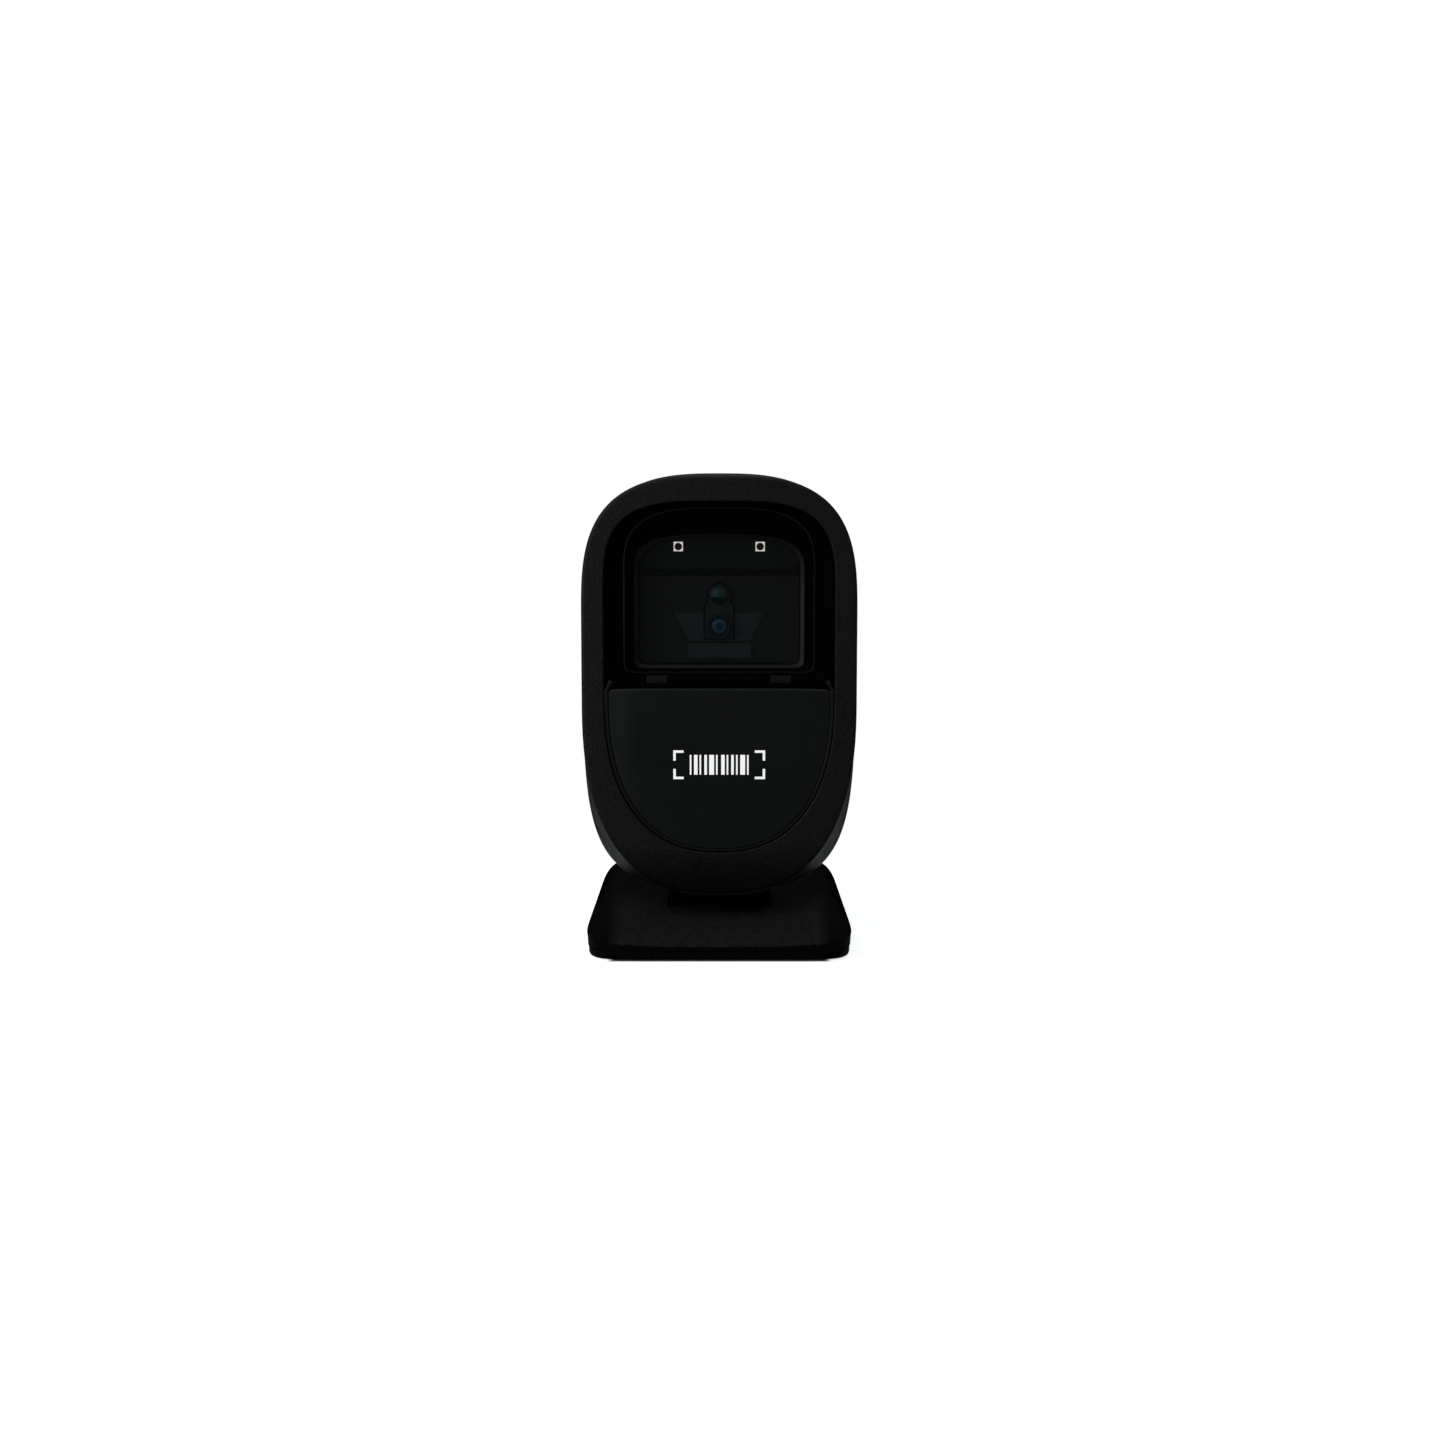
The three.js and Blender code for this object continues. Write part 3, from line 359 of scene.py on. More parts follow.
def dress(obj, body, slot, stands_for=(), edge=0.2, angle=28.0, material=None):
    """Gives a new piece its material, edges and body. The material is its slot's, unless one is named."""
    obj.data.materials.clear()
    obj.data.materials.append(material or MATERIALS[slot])
    soften(obj, edge, angle)
    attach(obj, body)
    if stands_for:
        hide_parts(*stands_for)


# ---- Materials ----
def grey(value):
    return (value, value, value)


def map_range(tree, value, start, end, low, high):
    """A node that maps a value from start..end to low..high."""
    node = tree.nodes.new("ShaderNodeMapRange")
    for name, number in (("From Min", start), ("From Max", end), ("To Min", low), ("To Max", high)):
        node.inputs[name].default_value = number
    tree.links.new(value, node.inputs["Value"])
    return node


class Nodes:
    """A small helper for one material's node tree, with positions in metres on the object."""

    def __init__(self, name):
        self.material = bpy.data.materials.new(name)
        self.material.use_nodes = True
        self.tree = self.material.node_tree
        self.shader = self.tree.nodes["Principled BSDF"]
        self.place = self.tree.nodes.new("ShaderNodeTexCoord").outputs["Object"]

    def link(self, source, target):
        self.tree.links.new(source, target)

    def colour(self, source):
        self.link(source, self.shader.inputs["Base Color"])

    def roughness(self, source):
        self.link(source, self.shader.inputs["Roughness"])

    def set(self, **values):
        """Values that are the same all over, under their socket's name with underscores."""
        for name, value in values.items():
            self.shader.inputs[name.replace("_", " ")].default_value = value

    def vector(self, operation, source, value=None):
        """An operation on a vector, with a constant second operand where it needs one."""
        node = self.tree.nodes.new("ShaderNodeVectorMath")
        node.operation = operation
        self.link(source, node.inputs[0])
        if value is not None:
            node.inputs[1].default_value = value
        return node.outputs["Value" if operation == "LENGTH" else "Vector"]

    def axis(self, source, name):
        node = self.tree.nodes.new("ShaderNodeSeparateXYZ")
        self.link(source, node.inputs[0])
        return node.outputs[name]

    def noise(self, size, detail=3.0, roughness=0.55):
        """Noise with features of about this many millimetres."""
        node = self.tree.nodes.new("ShaderNodeTexNoise")
        node.inputs["Scale"].default_value = 1 / (size * MM)
        node.inputs["Detail"].default_value = detail
        node.inputs["Roughness"].default_value = roughness
        self.link(self.place, node.inputs["Vector"])
        return node.outputs["Fac"]

    def cells(self, size, feature="F1"):
        node = self.tree.nodes.new("ShaderNodeTexVoronoi")
        node.feature = feature
        node.inputs["Scale"].default_value = 1 / (size * MM)
        self.link(self.place, node.inputs["Vector"])
        return node.outputs["Distance"]

    def stretched(self, scale):
        """Coordinates squeezed along each axis, for grain and brush marks."""
        node = self.tree.nodes.new("ShaderNodeMapping")
        node.inputs["Scale"].default_value = scale
        self.link(self.place, node.inputs["Vector"])
        self.place = node.outputs["Vector"]

    def spread(self, value, low, high, start=0.3, end=0.7):
        return map_range(self.tree, value, start, end, low, high).outputs["Result"]

    def blend(self, factor, first, second):
        node = self.tree.nodes.new("ShaderNodeMix")
        node.data_type = "RGBA"
        self.link(factor, node.inputs["Factor"])
        for socket, colour in ((node.inputs["A"], first), (node.inputs["B"], second)):
            if isinstance(colour, tuple):
                socket.default_value = (*colour, 1.0)
            else:
                self.link(colour, socket)
        return node.outputs["Result"]

    def add(self, first, second, share):
        """first plus a share of second."""
        node = self.tree.nodes.new("ShaderNodeMath")
        node.operation = "MULTIPLY_ADD"
        self.link(second, node.inputs[0])
        node.inputs[1].default_value = share
        self.link(first, node.inputs[2])
        return node.outputs["Value"]

    def bump(self, height, depth, strength=1.0):
        """Relief of about this many millimetres."""
        node = self.tree.nodes.new("ShaderNodeBump")
        node.inputs["Strength"].default_value = strength
        node.inputs["Distance"].default_value = depth * MM
        self.link(height, node.inputs["Height"])
        self.link(node.outputs["Normal"], self.shader.inputs["Normal"])


GRAIN = 0.6  # size of the spark-eroded grain of the matte plastic


def add_grain(n, relief):
    """Slightly uneven roughness, and a relief of fine cells."""
    n.roughness(n.spread(n.noise(9.0), 0.45, 0.55))
    n.bump(n.add(n.cells(GRAIN), n.noise(0.7 * GRAIN), 0.6), relief, 0.9)


def textured_plastic(name, dark, light, specular):
    """Moulded plastic with a fine spark-eroded grain."""
    n = Nodes(name)
    n.colour(n.blend(n.spread(n.noise(2.2 * GRAIN, 2.0), 0, 1), dark, light))
    add_grain(n, 0.16 * GRAIN)
    n.set(Specular_IOR_Level=specular)
    return n.material


def base_top_painted_light_and_shade():
    """The same grain on the base's top in a paler grey as painted light, with painted shade down its flanks
    and a painted shadow behind, under the head.
    """
    n = Nodes("base_top_painted_light_and_shade")
    flank_shade_span = (30.5 * MM, 34.5 * MM)
    head_shadow_span = (-12 * MM, 6 * MM)
    # inner falls from 1 to 0 over the flanks, where painted shade darkens the top.
    inner = n.spread(n.axis(n.vector("ABSOLUTE", n.place), "X"), 1, 0, *flank_shade_span)
    # front falls from 1 to 0 under and behind the head, where a painted shadow darkens the top.
    front = n.spread(n.axis(n.place, "Y"), 1, 0, *head_shadow_span)
    # A paler grey than the other textured black: painted light on the top.
    speckle_painted_lit = n.blend(n.spread(n.noise(1.3, 2.0), 0, 1), grey(0.0105), grey(0.0225))
    n.colour(n.blend(front, grey(0.0012), n.blend(inner, grey(0.0016), speckle_painted_lit)))
    add_grain(n, 0.1)
    n.set(Specular_IOR_Level=0.02)
    return n.material


def polished_plastic(name, colour, roughness, specular):
    """Polished plastic with faint smears and a trace of orange peel."""
    n = Nodes(name)
    lighter = tuple(1.5 * c + 0.0008 for c in colour)
    n.colour(n.blend(n.spread(n.noise(14.0), 0, 1), colour, lighter))
    smear = n.add(n.noise(22.0, 2.0), n.noise(1.6, 4.0), 0.25)
    n.roughness(n.spread(smear, roughness * 0.7, roughness * 1.5, 0.45, 0.8))
    n.bump(n.noise(4.0, 1.0), 0.012, 0.25)
    n.set(Specular_IOR_Level=specular)
    return n.material


def moulded_plastic(name, dark, light, roughness, specular=0.5):
    """Plain moulded plastic, slightly uneven in colour and gloss."""
    n = Nodes(name)
    n.colour(n.blend(n.spread(n.noise(3.0), 0, 1), dark, light))
    n.roughness(n.spread(n.noise(5.0), roughness - 0.06, roughness + 0.06))
    n.bump(n.noise(0.25, 2.0), 0.01, 0.4)
    n.set(Specular_IOR_Level=specular)
    return n.material


def tinted_window():
    """Clear acrylic with a light smoky tint and a few faint wipe marks."""
    n = Nodes("window_acrylic")
    n.set(Alpha=0.16, Metallic=0.0)
    n.colour(n.blend(n.noise(30.0), (0.004, 0.005, 0.006), (0.007, 0.009, 0.010)))
    n.stretched((1.0, 1.0, 0.15))
    n.roughness(n.spread(n.noise(2.4, 3.0), 0.02, 0.07))
    return n.material


def uneven(name, dark, light, gloss, sizes, detail=3.0, relief=None, **values):
    """A plain material whose colour and gloss vary over the given sizes, with its own settings."""
    n = Nodes(name)
    n.colour(n.blend(n.noise(sizes[0], detail), dark, light))
    n.roughness(n.spread(n.noise(sizes[1]), *gloss))
    if relief:
        size, depth, strength = relief
        n.bump(n.noise(size), depth, strength)
    n.set(**values)
    return n.material


def tinted_plastic(name, dark, light, coat, specular):
    """Smooth tinted plastic under a clear coat."""
    gloss, sizes = (0.05, 0.12), (1.5, 0.8)
    return uneven(name, dark, light, gloss, sizes, 1.0, Coat_Weight=coat, Specular_IOR_Level=specular)


def white_with_painted_glow(name, dark, light, gloss, sizes, tint, strength, relief=None):
    """White print or ceramic with a faint painted glow: it emits light, though it is no lamp."""
    painted_glow = dict(Emission_Color=(*tint, 1.0), Emission_Strength=strength)
    return uneven(name, dark, light, gloss, sizes, relief=relief, **painted_glow)


def circuit_board():
    """Black solder mask over faint copper tracks."""
    n = Nodes("circuit_board")
    tracks = n.spread(n.cells(1.9, "DISTANCE_TO_EDGE"), 1, 0, 0.02, 0.06)
    n.colour(n.blend(tracks, (0.004, 0.006, 0.005), (0.008, 0.012, 0.010)))
    n.roughness(n.spread(n.noise(3.0), 0.3, 0.42))
    n.bump(tracks, 0.02, 0.6)
    n.set(Specular_IOR_Level=0.15)
    return n.material


def coated_lens_painted_ring():
    """Dark glass under a blue coating, with a painted reflection: a pale ring round a deeper middle."""
    n = Nodes("coated_lens_painted_ring")
    offset = n.vector("SUBTRACT", n.place, centre_mm("lens_element") * MM)
    radius = n.vector("LENGTH", n.vector("MULTIPLY", offset, (1.0, 0.0, 1.0)))
    painted_ring_inner = (0.9 * MM, 1.3 * MM)
    painted_ring_outer = (2.0 * MM, 2.3 * MM)
    core = n.blend(n.noise(1.2, 1.0), (0.002, 0.014, 0.045), (0.005, 0.024, 0.065))
    # The pale ring round the middle is a painted reflection.
    with_painted_ring = n.blend(n.spread(radius, 0, 1, *painted_ring_inner), core, (0.024, 0.076, 0.145))
    n.colour(n.blend(n.spread(radius, 0, 1, *painted_ring_outer), with_painted_ring, (0.005, 0.028, 0.060)))
    n.roughness(n.spread(n.noise(1.0), 0.03, 0.08))
    n.set(Specular_IOR_Level=0.08, Coat_Weight=0.12, Coat_Roughness=0.03)
    return n.material


def aimer_glass_painted_shade():
    """A teal dome with painted shade on its lower third, painted dark where it shows the inside of the
    camera.
    """
    n = Nodes("aimer_glass_painted_shade")
    middle = centre_mm("aimer_lens").z
    upper = n.spread(n.axis(n.place, "Z"), 0, 1, (middle - 0.7) * MM, (middle - 0.3) * MM)
    teal = n.blend(n.noise(1.5, 1.0), (0.020, 0.044, 0.052), (0.036, 0.072, 0.084))
    # Painted shade: the lower third is near black, below the teal.
    n.colour(n.blend(upper, (0.002, 0.006, 0.008), teal))
    n.roughness(n.spread(n.noise(0.8), 0.05, 0.12))
    n.set(Specular_IOR_Level=0.12)
    return n.material


def brushed_metal(name, dark, light, roughness):
    """Metal with fine streaks along Z."""
    n = Nodes(name)
    n.stretched((1.0, 1.0, 0.12))
    streaks = n.noise(0.35, 3.0)
    n.colour(n.blend(streaks, dark, light))
    n.roughness(n.spread(streaks, roughness - 0.07, roughness + 0.1))
    n.bump(streaks, 0.006, 0.3)
    n.set(Metallic=1.0)
    return n.material


MATERIALS = {
    "textured_black": textured_plastic("textured_black", grey(0.0028), grey(0.0088), 0.25),
    "gloss_black": polished_plastic("gloss_black", (0.0040, 0.0046, 0.0043), 0.08, 0.28),
    "window": tinted_window(),
    "rubber": uneven(
        "foot_rubber", grey(0.010), (0.026, 0.025, 0.024), (0.78, 0.92), (1.2, 2.0), relief=(0.3, 0.02, 0.6)
    ),
    "dark_plastic": moulded_plastic(
        "dark_plastic", (0.0036, 0.0044, 0.0043), (0.0058, 0.0068, 0.0066), 0.5, 0.24
    ),
    "grey_plastic": moulded_plastic("grey_plastic", (0.021, 0.025, 0.029), (0.028, 0.033, 0.037), 0.45, 0.16),
    "board": circuit_board(),
    "component": moulded_plastic("component", (0.006, 0.006, 0.007), (0.014, 0.014, 0.015), 0.4),
    "lens_glass": coated_lens_painted_ring(),
    # The LED ceramic has a painted glow: it emits light, though it is no lamp.
    "led_white": white_with_painted_glow(
        "led_ceramic", (0.80, 0.80, 0.78), (0.95, 0.95, 0.93), (0.4, 0.55), (0.6, 0.5), (1.0, 0.98, 0.95), 0.7
    ),
    "led_dome": tinted_plastic("led_dome", (0.030, 0.002, 0.005), (0.090, 0.008, 0.015), 0.05, 0.1),
    "light_pipe": tinted_plastic("light_pipe", (0.0008, 0.001, 0.001), (0.0016, 0.0019, 0.0019), 0.25, 0.3),
    "steel": brushed_metal("steel", (0.40, 0.41, 0.42), (0.62, 0.62, 0.62), 0.33),
    "gold": brushed_metal("gold", (0.60, 0.40, 0.14), (0.85, 0.62, 0.28), 0.25),
    "bronze": brushed_metal("bronze", (0.30, 0.19, 0.09), (0.45, 0.30, 0.15), 0.38),
}
# The base's top: painted light, painted shade on its flanks and a painted shadow under the head.
BASE_TOP_PAINTED_LIGHT_AND_SHADE = base_top_painted_light_and_shade()
# A darker copy of the textured black for the base's lip and plate: painted shade.
BASE_SIDE_PAINTED_SHADE = textured_plastic("base_side_painted_shade", grey(0.0014), grey(0.0042), 0.04)
# A near-black copy of the textured black for the neck: painted shade where the head shades it.
NECK_PAINTED_SHADE = textured_plastic("neck_painted_shade", grey(0.0005), grey(0.0013), 0.02)
LENS_BLACK = moulded_plastic("lens_black", (0.002, 0.007, 0.012), (0.004, 0.012, 0.020), 0.35, 0.2)
CAMERA_GREY = moulded_plastic("camera_grey", (0.014, 0.017, 0.019), (0.020, 0.024, 0.027), 0.45, 0.16)
AIMER_GLASS_PAINTED_SHADE = aimer_glass_painted_shade()
# A rougher copy of the gloss black, made paler as painted light, for the frame's lips and the outer sill
# pads.
SATIN_PAINTED_LIGHT = polished_plastic("satin_black_painted_light", (0.0068, 0.0072, 0.0070), 0.4, 0.14)
# A near-black copy of the gloss black that barely reflects: painted shade in the funnel and on the middle
# sill pad.
GLOSS_BLACK_PAINTED_SHADE = polished_plastic("gloss_black_painted_shade", (0.0006, 0.0007, 0.0007), 0.3, 0.03)
# The print has a painted glow: it emits light, though it is no lamp.
INK = white_with_painted_glow(
    "printed_white", grey(0.78), grey(0.92), (0.45, 0.6), (0.8, 1.0), grey(1.0), 0.6, relief=(0.2, 0.004, 0.4)
)


# ---- Head: casing ----
def front_bezel():
    """The matte rim, its rolled chin, and the carrier behind the lower panel."""
    turns, face_steps = 6, 9
    side_depths = (8, 6, 4, 2.4)
    rebate_depth, rebate_width, rim_back = 2.6, 3.4, 7
    carrier_depths, carrier_overlap, carrier_drop = (2.5, 4.4), 1.4, 2.2

    def bent(ring):
        return [(x, y + chin_bend(z), z) for x, y, z in ring]

    section = [
        at_depth(outline(head_outline(SPLIT, WALL)), SPLIT - JOINT_GAP),
        at_depth(outline(head_outline(SPLIT - JOINT_GAP)), SPLIT - JOINT_GAP),
    ]
    section += [at_depth(outline(head_outline(depth)), depth) for depth in side_depths]
    for angle in quarter_turn(turns, 0):
        depth = EDGE_RADIUS * (1 - math.sin(angle))
        rounded = head_outline(depth, EDGE_RADIUS * (1 - math.cos(angle)))
        section.append(bent(at_depth(outline(rounded), depth)))
    face = outline(head_outline(0, EDGE_RADIUS))
    mouth = outline(inset(OPENING, -LIP_RADIUS))
    for i in range(1, face_steps + 1):
        t = i / face_steps
        ring = [(mix(a, c, t), mix(b, d, t)) for (a, b), (c, d) in zip(face, mouth)]
        section.append(bent(at_depth(ring, 0)))
    for angle in quarter_turn(turns):
        ring = outline(inset(OPENING, -LIP_RADIUS * (1 - math.sin(angle))))
        section.append(bent(at_depth(ring, LIP_RADIUS * (1 - math.cos(angle)))))
    section += [
        at_depth(outline(OPENING), rebate_depth),
        at_depth(outline(inset(OPENING, -rebate_width)), rebate_depth),
        at_depth(outline(head_outline(rim_back, WALL)), rim_back),
    ]
    rim = skin("bezel_rim", section, hoop=True)
    dress(rim, "head", "textured_black", ["front_bezel"], edge=0.12, angle=40)
    around = outline(inset(OPENING, -carrier_overlap))
    carrier = [(x, z) for x, z in around if z < SILL["bottom"] - carrier_drop]
    back = prism("bezel_carrier", carrier, *carrier_depths)
    dress(back, "head", "textured_black", edge=0)


def window_frame():
    """Gloss black funnel with two raised lips, and the sill with its three pads."""
    count = 200  # points on half an outline, for its tight corners
    ridge_arch, inner_arch = (19.3, 3.0), (12.2, 3.2)  # height and power
    lip_thickness = 0.35
    pad_foot, pad_depths = 83.2, (2.7, 6.1)

    def outer(d):
        return outline(inset(arch(**SILL), d), count)

    def ridge(a, top, bottom):
        return outline(arch(a, top, *ridge_arch, bottom, FRAME_SIDE - bottom, LIP_CORNER), count)

    def inner(a, top, bottom):
        return outline(arch(a, top, *inner_arch, bottom, FRAME_SIDE - bottom, LIP_CORNER), count)

    section = [  # each step of the funnel, and its depth
        (outer(0), 1.2),
        (ridge(30.2, 138.3, 85.8), 6.7),
        (ridge(29.9, 138.0, 86.1), 6.3),
        (ridge(29.3, 137.4, 86.6), 6.4),
        (ridge(29.0, 137.1, 86.8), 7.4),
        (inner(26.8, 129.4, 87.1), 10.5),
        (inner(26.4, 129.0, 87.4), 10.2),
        (inner(25.3, 128.0, 88.3), 10.9),
        (inner(25.0, 127.8, 88.5), 12.4),
        (ridge(31.6, 138.6, 83.6), 12.4),
        (outer(-1), 4.6),
        (outer(-2), 4.4),
        (outer(-2), 2.9),
        (outer(0), 2.9),
    ]
    funnel = skin("window_funnel", [at_depth(*step) for step in section], hoop=True)
    # The funnel takes the near-black copy: painted shade in the recess.
    dress(funnel, "head", "gloss_black", ["window_frame"], edge=0.14, angle=24, material=GLOSS_BLACK_PAINTED_SHADE)
    lips = {
        "outer_lip": [(ridge(30.05, 138.15, 85.95), 6.5), (ridge(29.25, 137.35, 86.65), 6.2)],
        "inner_lip": [(inner(26.5, 129.1, 87.3), 10.1), (inner(25.2, 127.9, 88.4), 10.8)],
    }
    for name, edges in lips.items():
        rings = [at_depth(points, depth) for points, depth in edges]
        rings += [at_depth(points, depth + lip_thickness) for points, depth in reversed(edges)]
        # The lips take the paler copy: painted light.
        dress(skin(name, rings, hoop=True), "head", "gloss_black", edge=0.12, material=SATIN_PAINTED_LIGHT)
    pads = {
        # The outer pads take the paler copy: painted light.
        "sill_pad_right": (15.9, 22.4, 85.8, SATIN_PAINTED_LIGHT),
        "sill_pad_left": (-22.4, -15.9, 85.8, SATIN_PAINTED_LIGHT),
        # The middle pad takes the near-black copy: painted shade.
        "sill_pad_middle": (-13.0, 13.0, 85.3, GLOSS_BLACK_PAINTED_SHADE),
    }
    for name, (start, end, top, material) in pads.items():
        pad = block(name, (start, FACE_Y + pad_depths[0], pad_foot), (end, FACE_Y + pad_depths[1], top))
        dress(pad, "head", "gloss_black", edge=0.35, material=material)


def scan_window():
    """The clear pane, a little larger than the opening in front of it."""
    edge = arch(a=28.6, top=131.0, b_high=14.0, n_high=3.4, bottom=85.2, b_low=7.0, n_low=4.0)
    front, back = 12.7, 14.2
    pane = prism("window_pane", outline(edge), front, back)
    dress(pane, "head", "window", ["scan_window"], edge=0.15)


def u_half_width(z, d):
    """Half the width of the opening's U at a height, less an inset."""
    if z >= OPENING["z_low"]:
        return OPENING["a"] - d
    share = clamp((OPENING["z_low"] - z) / (OPENING["b_low"] - d), 0, 1)
    return (OPENING["a"] - d) * (1 - share ** OPENING["n_low"]) ** (1 / OPENING["n_low"])


PANEL_INSET = 2 * JOINT_GAP + PIPE_WIDTH
PANEL_TOP = SILL["bottom"] - 0.7
PANEL_BULGE = 0.7  # how far its middle stands out of the face
PANEL_CURVE = 1.15  # how far its sides lie behind its middle


def panel_front(x):
    """Y of the panel's front face, which curves back at both sides."""
    return FACE_Y - PANEL_BULGE + PANEL_CURVE * (abs(x) / (OPENING["a"] - PANEL_INSET)) ** 4


def front_panel():
    """Gloss lower cover, rolled back along its top edge and at both sides."""
    bottom = OPENING["z_low"] - OPENING["b_low"] + PANEL_INSET
    roll_height, roll_depth, droop, back_depth = 1.9, 0.5, 0.7, 2.1
    lowest = bottom + 0.004  # where the last row still has some width

    def point(s, t, back):
        z = mix(PANEL_TOP, lowest, math.sin(math.pi / 2 * t) ** 1.6)
        x = u_half_width(z, PANEL_INSET) * math.sin(math.pi * (s - 0.5))
        near_top = clamp(1 - (PANEL_TOP - z) / roll_height, 0, 1)
        y = FACE_Y + back_depth if back else panel_front(x) + roll_depth * near_top**2
        return (x, y, z - droop * near_top * (abs(x) / OPENING["a"]) ** 6)

    panel = slab("panel", lambda s, t: point(s, t, False), lambda s, t: point(s, t, True), 96, 120)
    dress(panel, "head", "gloss_black", ["front_panel"], edge=0.25, angle=50)


def bezel_horn(side):
    """Tapered horn that carries the bezel's inner edge up into a corner of the window frame."""
    # x, z and half the width at places along it
    path = [(34.45, 81.9, 0.30), (34.35, 82.6, 0.42), (34.1, 83.3, 0.56)]
    path += [(33.7, 84.0, 0.70), (33.3, 84.6, 0.74)]
    front, back = FACE_Y - 0.15, FACE_Y + 0.85
    sign = SIGNS[side]
    rings = []
    for i, (x, z, half) in enumerate(path):
        a, b = path[max(i - 1, 0)], path[min(i + 1, len(path) - 1)]
        along = math.hypot(b[0] - a[0], b[1] - a[1])
        across = ((b[1] - a[1]) / along * half, -(b[0] - a[0]) / along * half)
        x0, z0 = sign * (x + across[0]), z + across[1]
        x1, z1 = sign * (x - across[0]), z - across[1]
        rings.append([(x0, front, z0), (x1, front, z1), (x1, back, z1), (x0, back, z0)])
    horn = skin("bezel_horn_" + side, rings)
    dress(horn, "head", "textured_black", edge=0.28, angle=50)


def light_pipe():
    """Smoked strip round the lower cover."""
    steps = 260
    front_depth, back_depth = 0.15, 2.1

    def edge(s, t, depth):
        d = JOINT_GAP + PIPE_WIDTH * s
        angle = math.pi * clamp((t * steps - 1) / (steps - 2), 0, 1)
        power = 2 / OPENING["n_low"]
        x = (OPENING["a"] - d) * signed_power(math.cos(angle), power)
        z = OPENING["z_low"] - (OPENING["b_low"] - d) * max(0.0, math.sin(angle)) ** power
        if t in (0, 1):
            z = PANEL_TOP
        return (x, FACE_Y + depth, z)

    def face(depth):
        return lambda s, t: edge(s, t, depth)

    strip = slab("status_strip", face(front_depth), face(back_depth), 4, steps)
    dress(strip, "head", "light_pipe", ["light_pipe"], edge=0.12, angle=50)


def stadium(grow, middle, half_length, half_height, count=24):
    """A long oval in X and Z: two half circles joined by straight sides."""
    r = half_height + grow
    straight = half_length - half_height
    points = []
    for sign in (1, -1):
        for i in range(count + 1):
            angle = math.pi * i / count
            points.append((sign * (straight + r * math.sin(angle)), middle + sign * r * math.cos(angle)))
    return points


TRIGGER_Z = centre_mm("trigger_button").z
FLANGE = 1.6  # how far the trigger's flange reaches past its body
TRIGGER_HALF = ((button_high.x - button_low.x) / 2 - FLANGE, (button_high.z - button_low.z) / 2 - FLANGE)
SPEAKER_Z = centre_mm("speaker").z
SCREWS = {n: centre_mm(n) for n in frame["nodes"] if n.startswith("housing_screw")}


def housing_shell(name, wall, front, steps):
    """The dome, or with a wall the cavity inside it, whose back has no rounded edge."""
    edge_steps, edge_width, edge_depth, back_crown = 6, 2.2, 0.5, 0.2
    rings = [at_depth(outline(head_outline(front, wall)), front)]
    rings += [at_depth(outline(head_outline(d, wall)), d) for d in (11.5, 12.8)]
    for i in range(steps + 1):
        depth, shape = dome_outline(DOME_ANGLE * i / steps, wall)
        rings.append(at_depth(outline(shape), depth))
    if not wall:
        depth, shape = dome_outline(DOME_ANGLE)
        for angle in quarter_turn(edge_steps):
            ring = outline(inset(shape, edge_width * math.sin(angle)))
            back = depth + edge_depth * (1 - math.cos(angle)) + back_crown * math.sin(angle)
            rings.append(at_depth(ring, back))
    return skin(name, rings)


def housing_ears():
    """Two ears that hold the hinge bushes, with round tops."""
    inner, outer, radius, foot = 19.0, 21.8, 8.5, 18
    made = []
    for sign in (-1, 1):
        start, end = sorted((sign * inner, sign * outer))
        made.append(block("ear", (start, HINGE.y - radius, foot), (end, HINGE.y + radius, HINGE.z)))
        made.append(rod("ear", radius, "x", start, end, (0, HINGE.y, HINGE.z)))
    return made


def housing_cutters():
    """The openings of the rear housing."""
    hinge_at = (0, HINGE.y, HINGE.z)
    cutters = [
        centred_block("neck_slot", 17.6, (14.6, 40.5), (10, 37.5)),
        rod("hinge_bore", 4.2, "x", -23.2, 23.2, hinge_at),
        rod("hinge_room", 5.7, "x", -18.95, 18.95, hinge_at),
        centred_block("pocket", 9, (36, 52), (41.6, 58)),
        centred_block("port", 7.9, (30, 40), (43.1, 56.3)),
        prism("trigger_hole", stadium(JOINT_GAP, TRIGGER_Z, *TRIGGER_HALF), 42, 52),
    ]
    well_radius, well_from, well_to = 2.9, FACE_Y + 22, FACE_Y + 50
    for p in SCREWS.values():
        cutters.append(rod("well", well_radius, "y", well_from, well_to, (p.x, 0, p.z)))
    slot_pitch, slot_half, slot_height = 2.6, 7, 0.6
    for row in range(-2, 3):
        slot = stadium(0, SPEAKER_Z + slot_pitch * row, slot_half - abs(row), slot_height, 8)
        cutters.append(prism("sound_slot", slot, 43, 50))
    return cutters


def rear_housing():
    """Domed shell with the trigger's opening, sound slots, screw wells, cable pocket and neck slot."""
    housing = housing_shell("rear_shell", 0.0, SPLIT, 40)
    envelope = duplicate(housing)
    carve(housing, housing_shell("cavity", WALL, SPLIT - 1, 24))
    boss_radius, boss_from, boss_to = 4.4, FACE_Y + 12.3, FACE_Y + 34
    added = [*housing_ears(), centred_block("pocket_wall", 10.8, (34.2, 44), (39.8, 59.8))]
    added += [rod("boss", boss_radius, "y", boss_from, boss_to, (p.x, 0, p.z)) for p in SCREWS.values()]
    for solid in added:
        combine(solid, [duplicate(envelope)], "INTERSECT")
        weld(housing, solid)
    bpy.data.objects.remove(envelope)
    for cutter in housing_cutters():
        carve(housing, cutter)
    dress(housing, "head", "textured_black", ["rear_housing"], edge=0.25, angle=34)


